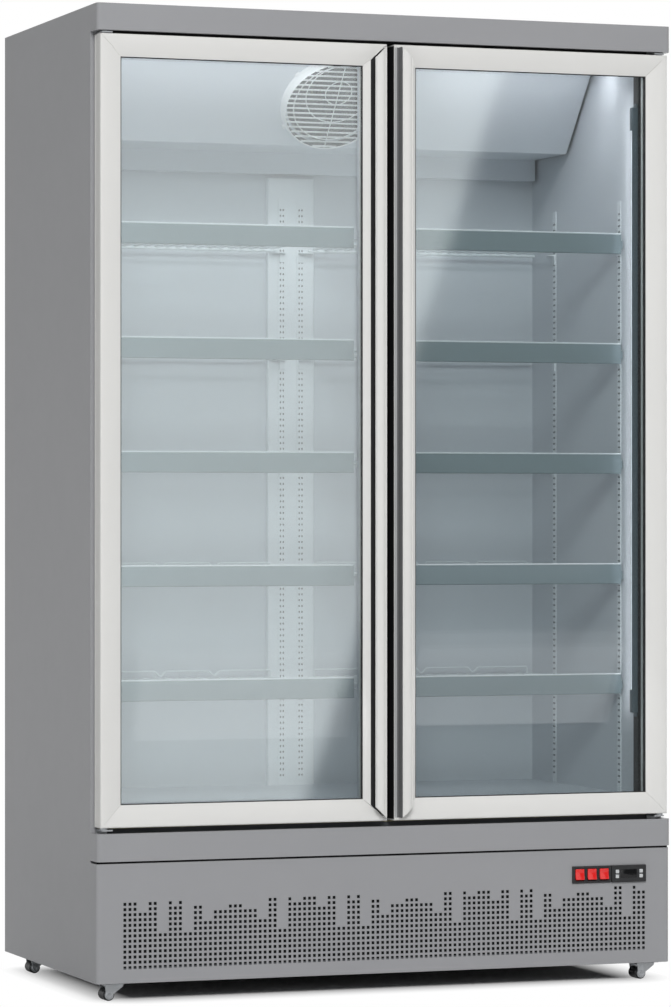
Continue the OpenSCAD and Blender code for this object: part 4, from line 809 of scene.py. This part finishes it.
# Strips with a clip at every shelf, on the side walls, the back wall's spine and the centre post
def makeStandards(s):
    half, sheet, thick = s["clipWidth"] / 2, s["sheet"], s["clipSheet"]

    # A clip's tongue runs out along -Y with its width along X; some have a side arm
    def clipShape(length, arm=0, side=1):
        tongue = rounded([(0, 0), (length, 0), (length, -thick), (thick, -thick), (thick, -s["clipHeight"]),
                          (0, -s["clipHeight"])], [0, 0.8, 0.8, 3.5, 0.8, 0], 4)
        parts = [extruded([(-u, v) for u, v in tongue], (-half, 0, 0), (half, 0, 0))]
        if arm:
            near, far = sorted([side * (half - 0.5), side * s["armReach"]])
            parts.append(softBlock((near, -length, -thick), (far, arm - length, 0), 1.5, 0.5, 2, 3))
        return together(*parts)

    # A dark block in the hollow behind a strip's slots: painted shade seen through the slots
    def hollow(height):
        return softBlock((-s["hollow"], 0.3, s["hollowEnd"]),
                         (s["hollow"], sheet - s["gap"], height - s["hollowEnd"]), 1.0, 0.1, 1, 3)

    # The clips carry the grid's underside, as the solids' eight-sided wires have it, less a weld
    under = shelf["drop"] + (shelf["wire"] + shelf["cross"]) * math.cos(math.pi / 8) - s["weld"]
    clipZ = [shelf["first"] + k * shelf["pitch"] - under for k in range(shelf["count"])]
    low, tall, taller, wallX = s["low"], s["height"], s["height"] + s["backTaller"], s["wall"] - sheet
    spineY = s["spineBack"] - s["spineDepth"]
    back = (s["x"], spineY - sheet)
    parts = []
    slotShadeBlocks = []
    for y in (s["frontY"], s["rearY"]):
        parts += [moved(quarter(slottedStrip({**s, **s["wideSlots"]}, tall), 3), (wallX, y, low)),
                  copies(quarter(clipShape(s["clipLength"]), 3), [(wallX, y, z) for z in clipZ])]
        slotShadeBlocks.append(moved(quarter(hollow(tall), 3), (wallX, y, low)))
    slotShadeBlocks.append(moved(hollow(taller), (*back, low)))
    parts += [moved(slottedStrip(s, taller), (*back, low)),
              copies(clipShape(s["clipLength"], s["clipLength"]), [(*back, z) for z in clipZ]),
              moved(slottedStrip(s, tall), (s["x"], s["postY"], low)),
              copies(quarter(clipShape(s["postClip"], s["clipWidth"], -1), 2),
                     [(s["x"], s["postY"] + sheet + s["gap"], z) for z in clipZ])]
    both, dark = (together(half, flipped(half, -1)) for half in (together(*parts), together(*slotShadeBlocks)))
    path = rounded([(-s["spineX"], s["spineBack"]), (-s["spineX"], spineY), (s["spineX"], spineY),
                    (s["spineX"], s["spineBack"])], [0, 3, 3, 0], 5)
    spine = extruded(strip(path, sheet), (0, 0, low), (0, 0, low + s["spineHeight"]), (1, 0, 0), (0, 1, 0))
    # The dark blocks behind the slots are painted shade
    addPiece("shelfStandards", [(both, standardPaint), (spine, standardPaint), (dark, slotPaintedShade)],
             "cabinet", ["shelf_standards"])


makeStandards(standard)
print("standards fixed")

# The cooler under the roof: its guard, motor and fan

slope = {"foot": (0, 94, 1761.5), "run": 154, "rise": 184}
guard = {"rim": 111, "height": 20, "slats": 18, "slat": 3.9, "slatDepth": 2,
         "lowSlat": -103, "slatPitch": 11.9, "rings": [(29, 35), (71, 32), (93, 9)], "ringWire": 2,
         "spoke": 90, "foot": 115, "shroud": 104, "shroudDeep": 45, "shroudHole": 36, "wall": 2.4,
         "lugs": [35, 145, 215, 325]}
fan = {"hub": 22, "hubHeight": 22, "blades": 5, "tip": 93.6, "wall": 1.9, "rootPitch": 37,
       "tipPitch": 21, "camber": 3.5, "seat": -19, "low": [-11, -23, -26, -17],
       "high": [10, 18, 17, 6], "at": [0, 0.5, 0.86, 1]}
motor = {"radius": 31, "back": -64, "front": -22, "arm": 98, "arms": [30, 150, 270], "hole": 3.4}


# A profile of radius and height carried round Z; a ring's profile is closed, others get end caps
def turned(profile, count, ring=False):
    radius, z = np.asarray(profile, float).T[..., None]
    angle = np.arange(count) * 2 * np.pi / count
    return tube(np.stack([radius * np.cos(angle), radius * np.sin(angle), z + 0 * angle], -1), ring)


# A shape drawn about Z set into a frame: three axes as rows, then the origin
def placed(shape, axes, origin):
    return outward((shape[0] @ np.asarray(axes, float) + np.asarray(origin, float), shape[1]))


# Turned about Z by an angle a: (x cos a - y sin a, x sin a + y cos a)
def spun(shape, degrees):
    c, s = math.cos(math.radians(degrees)), math.sin(math.radians(degrees))
    return shape[0] @ np.array([[c, s, 0], [-s, c, 0], [0, 0, 1]]), shape[1]


# Blade: at each span share the chord runs round the hub's cylinder and rises with the pitch;
# its section is a lens, thick in the middle, lifted by the camber's parabola
def blade(f, tip):
    share = np.linspace(0, 1, 13)[:, None]
    radius = f["hub"] - 1.5 + (tip - f["hub"] + 1.5) * share
    low, high = (np.interp(share, f["at"], f[key]) * (tip / f["tip"]) for key in ("low", "high"))
    pitch = np.radians(f["rootPitch"] + (f["tipPitch"] - f["rootPitch"]) * share)
    along = np.linspace(0, 1, 11)
    t = np.concatenate([along, along[-2:0:-1]])
    face = np.concatenate([np.ones(11), -np.ones(9)])
    lens = face * f["wall"] / 2 * np.clip(4 * t * (1 - t), 0, 1) ** 0.35 + f["camber"] * 4 * t * (1 - t)
    chord = low + (high - low) * t
    angle = (chord * np.cos(pitch) - lens * np.sin(pitch)) / radius
    z = f["hubHeight"] / 2 + chord * np.sin(pitch) + (lens - f["camber"] / 2) * np.cos(pitch)
    return tube(np.stack([radius * np.cos(angle), radius * np.sin(angle), z], -1))


# A hub with a domed front and a raised ring, its blades and its shaft
def fanShape(f, tip):
    r, h = f["hub"], f["hubHeight"]
    dome = np.linspace(0, np.pi / 2, 7)[:-1]
    profile = [(r - 2, 0), (r - 1, 0), (r, 1), (r, h - 5)]
    profile += [(4 + (r - 4) * math.cos(a), h - 5 + 4.4 * math.sin(a)) for a in dome[1:]]
    profile += [(4, h - 0.6), (3.2, h - 1.6), (1.0, h - 1.6)]
    hub = turned(profile, 48)
    shaft = turned([(2.4, -16), (3, -15.4), (3, 1), (2.9, 1.2)], 20)
    wings = [spun(blade(f, tip), k * 360 / f["blades"]) for k in range(f["blades"])]
    return together(hub, shaft, *wings)


# Motor body: a lathed can with a rolled seam, hollow where the shaft runs, on three arms
def motorShape(m):
    r, back, front, tip, hole = m["radius"], m["back"], m["front"], m["arm"], m["hole"]
    can = turned([(hole, front - 22), (hole, front - 0.6), (hole + 0.6, front), (12, front), (13, front - 2),
                  (r - 4, front - 2), (r - 1, front - 4), (r, front - 7), (r, front - 16),
                  (r + 0.9, front - 17), (r + 0.9, front - 19), (r, front - 20), (r, back + 5),
                  (r - 4, back + 1), (r - 8, back), (hole, back)], 48, True)
    arm = [softBlock((r - 2, -5, back), (tip, 5, back + 3), 1.4, 0.6, 2, 3),
           softBlock((tip - 3, -5, back), (tip, 5, 3), 1.4, 0.6, 0, 3),
           softBlock((tip - 3, -5, 1), (tip + 2, 5, 4), 1.0, 0.6, 2, 3)]
    return together(can, *(spun(part, degrees) for degrees in m["arms"] for part in arm))


# The round guard on the slope: a slat at height y reaches sqrt(radius squared - y squared) each way
def makeGuard(g, s):
    run, climb, length = s["run"], s["rise"], math.hypot(s["run"], s["rise"])
    axes = np.array([[-1, 0, 0], [0, -run / length, climb / length], [0, -climb / length, -run / length]])
    centre = np.array(s["foot"]) + axes[1] * (length / 2 - 4)
    rim, top, wall, half, deep = g["rim"], g["height"], g["wall"], g["slat"] / 2, g["slatDepth"]
    ring = turned([(rim - wall, 0.0), (g["foot"], 0.0), (g["foot"], 1.5), (rim + 2.4, 6.0),
                   (rim, top - 5), (rim - 0.5, top - 2.6), (rim - 2, top - 1),
                   (rim - 2.8, top - 0.5), (rim - 3.4, top - 1.2), (rim - 3.2, top - 2.2),
                   (rim - 2.8, top - 3.2), (rim - wall, top - 5.4)], 96, True)
    outline = [(-half, -deep), (half, -deep), (half, -0.8), (half * 0.6, -0.2), (-half * 0.6, -0.2),
               (-half, -0.8)]
    white = [ring]
    for y in g["lowSlat"] + np.arange(g["slats"]) * g["slatPitch"]:
        reach = math.sqrt((rim - 2.6) ** 2 - (abs(y) + half) ** 2)
        white.append(extruded(outline, (-reach, y, top - 1.6), (reach, y, top - 1.6)))
    white += [moved(turned(circle(g["ringWire"] / 2, 8) + (r, top - 0.9), 72, True), (0, up, 0))
              for r, up in g["rings"]]
    a = math.radians(g["spoke"])
    way = np.array([math.cos(a), math.sin(a), 0]) * (rim - 3)
    white.append(bar((0, 0, top - 1.4) - way, (0, 0, top - 1.4) + way, g["ringWire"], 8))
    lug = softBlock((rim - 1.2, -6, 0), (rim + 9, 6, 3), 2.5, 0.8, 2, 4)
    screw = moved(turned([(3.4, 2.6), (3.4, 4.0), (2.6, 4.8), (1.0, 5.0)], 20), (rim + 4, 0, 0))
    white += [spun(part, degrees) for degrees in g["lugs"] for part in (lug, screw)]
    # The dark shroud lines the rim up to the slats and reaches back round the fan
    r, hole, back, lining = g["shroud"], g["shroudHole"], -g["shroudDeep"], rim - wall - 0.6
    shroud = turned([(lining, top - 4.4), (lining, 0.3), (r + 1.5, -1), (r + 1.5, back - 1.5),
                     (hole, back - 1.5), (hole, back), (r, back), (r, -1), (lining - 1.2, 0.6),
                     (lining - 1.2, top - 4.4)], 96, True)
    white, dark, shroud, spinner = (placed(shape, axes, centre) for shape in (
        together(*white), motorShape(motor), shroud, moved(fanShape(fan, fan["tip"]), (0, 0, fan["seat"]))))
    addPiece("fanGuard", [(white, whitePlastic), (dark, shellBlack), (shroud, darkPlastic)],
             "cabinet", ["fan_guard"])
    addPiece("coolerFan", [(spinner, darkPlastic)], "cooler_fan", ["evaporator_fan"])


makeGuard(guard, slope)

condenserFan = {"place": (-250, -131, 199), "tip": 98.6}
lower = placed(fanShape(fan, condenserFan["tip"]), [[1, 0, 0], [0, 0, 1], [0, -1, 0]], condenserFan["place"])
addPiece("condenserFan", [(lower, darkPlastic)], "condenser_fan", ["condenser_fan"])
print("fans and guard made")


# The lamps beside the door opening

lamp = {"outer": 574.5, "width": 13.5, "front": -280, "depth": 17, "low": 549, "length": 1290, "cap": 57}


def makeLamps(l):
    x1, y0, low, high, cap = l["outer"], l["front"], l["low"], l["low"] + l["length"], l["cap"]
    x0, y1 = x1 - l["width"], y0 + l["depth"]
    middle = np.array([(x0 + x1) / 2, (y0 + y1) / 2])
    inside = (low + cap - 3, high - cap + 3)

    # An upright bar whose ends draw in a little: by soft / 12 over the last soft of its length
    def upright(outline, z0, z1, soft):
        share = np.array([1 - soft / 12, 1, 1, 1 - soft / 12])[:, None]
        return sweep(outline - middle, [[*middle, z] for z in (z0, z0 + soft, z1 - soft, z1)],
                     share * [[1, 0, 0]], share * [[0, 1, 0]])

    # The housing is a dark channel, the lens faces the room
    channel = rounded([(x0 + 1, y0 + 5.5), (x0 + 1, y0 + 1), (x1, y0 + 1), (x1, y1 - 1), (x1 - 2, y1 - 1),
                       (x1 - 2, y0 + 5.5)], [0.8, 1.6, 0.8, 0.8, 0.5, 0.5], 4, True)
    lens = rounded([(x1 - 2.1, y0 + 5.6), (x1 - 2.1, y1 - 2), (x0 + 3.5, y1 - 2), (x0 + 2, y0 + 5.6)],
                   [0, 0.8, 6.0, 0.5], 6, True)
    block = rounded(rectangle(x0, y0, x1, y1), [3, 1, 1, 5], 6, True)
    parts = [upright(channel, *inside, 0.4)]
    for z0, z1, tip in ((low + 9, low + cap, -1), (high - cap, high - 9, 1)):
        end = z1 if tip > 0 else z0
        tongue = softBlock((x1 - 3.2, y0 + 2, min(end - tip, end + tip * 9)),
                           (x1 - 1.2, y1 - 2, max(end - tip, end + tip * 9)), 2.0, 0.4, 0, 4)
        screw = placed(turned([(2.6, 0), (2.6, 1.0), (1.8, 1.6), (0.8, 1.7)], 18),
                       [[0, 1, 0], [0, 0, 1], [-1, 0, 0]], (x1 - 3.1, middle[1], end + tip * 4.6))
        parts += [upright(block, z0, z1, 1.2), tongue, screw]
    for name, side in sides.items():
        addPiece(f"{name}Lamp", [(together(*parts), lampGrey), (upright(lens, *inside, 0.4), diffuser)],
                 "cabinet", ["lamps"], side)


makeLamps(lamp)
print("lamps fitted")

# The raised rings round the casters' axle ends

caster = {"x": 582.5, "y": {"front": -278, "rear": 260}, "trail": 10, "axleZ": 12, "cheekOut": 21.4}


def makeCasterRings(c):
    ring = turned([(3.2, -0.1), (6.8, -0.1), (6.8, 0.9), (5.8, 1.5), (4.2, 1.5), (3.2, 0.9)], 32, True)
    for row, y in c["y"].items():
        for name, side in sides.items():
            at = np.array([side * c["x"] - c["trail"], y, c["axleZ"]])
            pair = together(*(placed(ring, [[1, 0, 0], [0, 0, way], [0, -way, 0]],
                                     at - (0, way * c["cheekOut"], 0)) for way in (1, -1)))
            addPiece(f"{row}{name.capitalize()}AxleRings", [(pair, zinc)], f"{row}_{name}_fork", [])


makeCasterRings(caster)
print("casters ringed")


# The controls in the grille: three rocker switches in a bezel and the temperature controller

control = {"front": -323.5, "z": 225, "height": 35.5, "bezelLeft": 404.25, "bezelRight": 492.75,
           "bezelOut": 4, "rim": 3, "cell": 27.5, "rockerWide": 19.5, "rockerHigh": 23.6, "nose": 8.5,
           "swing": 14, "housing": 22, "thermoWide": 78, "thermoOut": 6, "thermoDeep": 60, "window": (36, 18),
           "button": 7.5, "buttonX": 27, "buttonZ": 5.05, "buttonOut": 1.5}


# A plate with a rounded opening: rings that join point to point run from one outline to the
# other, and grown or shrunk by soft they round the rims
def windowed(outer, inner, front, back, soft):
    def scaled(ring, by):
        low, high = ring.min(0), ring.max(0)
        return (low + high) / 2 + (ring - (low + high) / 2) * (1 + by / ((high - low) / 2))

    rows = [(inner, back), (inner, front + soft), (scaled(inner, soft), front), (scaled(outer, -soft), front),
            (outer, front + soft), (outer, back)]
    return tube(np.array([[(x, y, z) for x, z in ring] for ring, y in rows]), True)


def makeControls(c):
    y0, z, rim, cell, deep = c["front"], c["z"], c["rim"], c["cell"], c["front"] + c["housing"]
    wide, high, tall = c["rockerWide"] / 2, c["rockerHigh"] / 2, c["height"] / 2

    # An outline and a block, as high above the controls' middle as below
    def pane(x0, x1, half, corner):
        return rectangle(x0, z - half, x1, z + half, corner)

    def block(x0, x1, front, back, half, corner, edge):
        return softBlock((x0, front, z - half), (x1, back, z + half), corner, edge)

    bezel = []
    for number in range(3):
        left = c["bezelLeft"] + rim + number * cell
        middle = left + cell / 2
        outer = pane(left + 0.25 - (rim if number == 0 else 0),
                     left + cell - 0.25 + (rim if number == 2 else 0), tall, 0.9)
        inner = pane(middle - wide - 0.5, middle + wide + 0.5, high + 1, 1.2)
        # The face of the cell, the well behind the rocker and its floor
        bezel += [windowed(outer, inner, y0 - c["bezelOut"], y0 - 0.05, 0.6),
                  windowed(pane(left + 0.6, left + cell - 0.6, tall - rim, 0.9), inner,
                           y0 - 0.05, deep - 6, 0.2),
                  block(left + 0.6, left + cell - 0.6, deep - 6, deep, tall - rim, 0.9, 0.3)]
    addPiece("switchBezel", [(together(*bezel), blackPlastic)], "cabinet", ["control_bezel"])
    # A rocker's front is a shallow hollow that leans back at rest
    spread = np.linspace(-1, 1, 15)
    hollow = np.stack([-c["nose"] + 1.5 * (1 - np.abs(spread) ** 1.5), -high * spread], -1)
    outline = rounded(np.vstack([hollow, [(4, 5 - high), (4, high - 5)]]),
                      [0.9] + [0] * 13 + [0.9, 1.0, 1.0], 3, True)
    share = np.array([0.93, 0.975, 1, 1, 0.975, 0.93])[:, None]
    lean = math.radians(-c["swing"] / 2)
    for number in range(3):
        x = c["bezelLeft"] + rim + cell * (number + 0.5)
        places = x + np.array([-wide, 0.25 - wide, 0.8 - wide, wide - 0.8, wide - 0.25, wide])
        rocker = sweep(outline, [(place, y0 + 2, z) for place in places],
                       share * [0, math.cos(lean), math.sin(lean)],
                       share * [0, -math.sin(lean), math.cos(lean)])
        pin = bar((x - wide - 2.4, y0 + 2, z), (x + wide + 2.4, y0 + 2, z), 3.0, 20)
        addPiece(f"rocker{number + 1}", [(together(rocker, pin), redPlastic)], f"rocker_{number + 1}",
                 [f"rocker_switch_{number + 1}"], angle=40)
    # The controller: a framed front with a recessed display and square keys
    x0, x1, out = c["bezelRight"], c["bezelRight"] + c["thermoWide"], y0 - c["thermoOut"]
    middle, w, h = (x0 + x1) / 2, c["window"][0] / 2, c["window"][1] / 2
    black = together(windowed(pane(x0 + 0.15, x1, tall, 1.2), pane(middle - w, middle + w, h, 1.0),
                              out, out + 1.4, 0.7),
                     block(x0 + 0.15, x1, out + 1.3, y0, tall, 1.2, 0.2),
                     block(x0 + 3.5, x1 - 3.5, y0, y0 + c["thermoDeep"], tall - rim, 1.5, 1.0))
    display = block(middle - w + 0.3, middle + w - 0.3, out + 0.9, out + 1.5, h - 0.3, 0.8, 0.2)
    addPiece("thermostatFront", [(black, blackPlastic), (display, displayGlass)],
             "cabinet", ["thermostat"])
    b = c["button"] / 2
    for name, sx, sz in [("set", -1, 1), ("up", 1, 1), ("down", -1, -1), ("defrost", 1, -1)]:
        kx, kz = middle + sx * c["buttonX"], z + sz * c["buttonZ"]
        key = softBlock((kx - b, out - c["buttonOut"], kz - b), (kx + b, out + 2.5, kz + b), 1.1, 0.6)
        addPiece(f"{name}Key", [(key, keyPlastic)], f"{name}_button", [f"button_{name}"])


makeControls(control)
print("controls set")
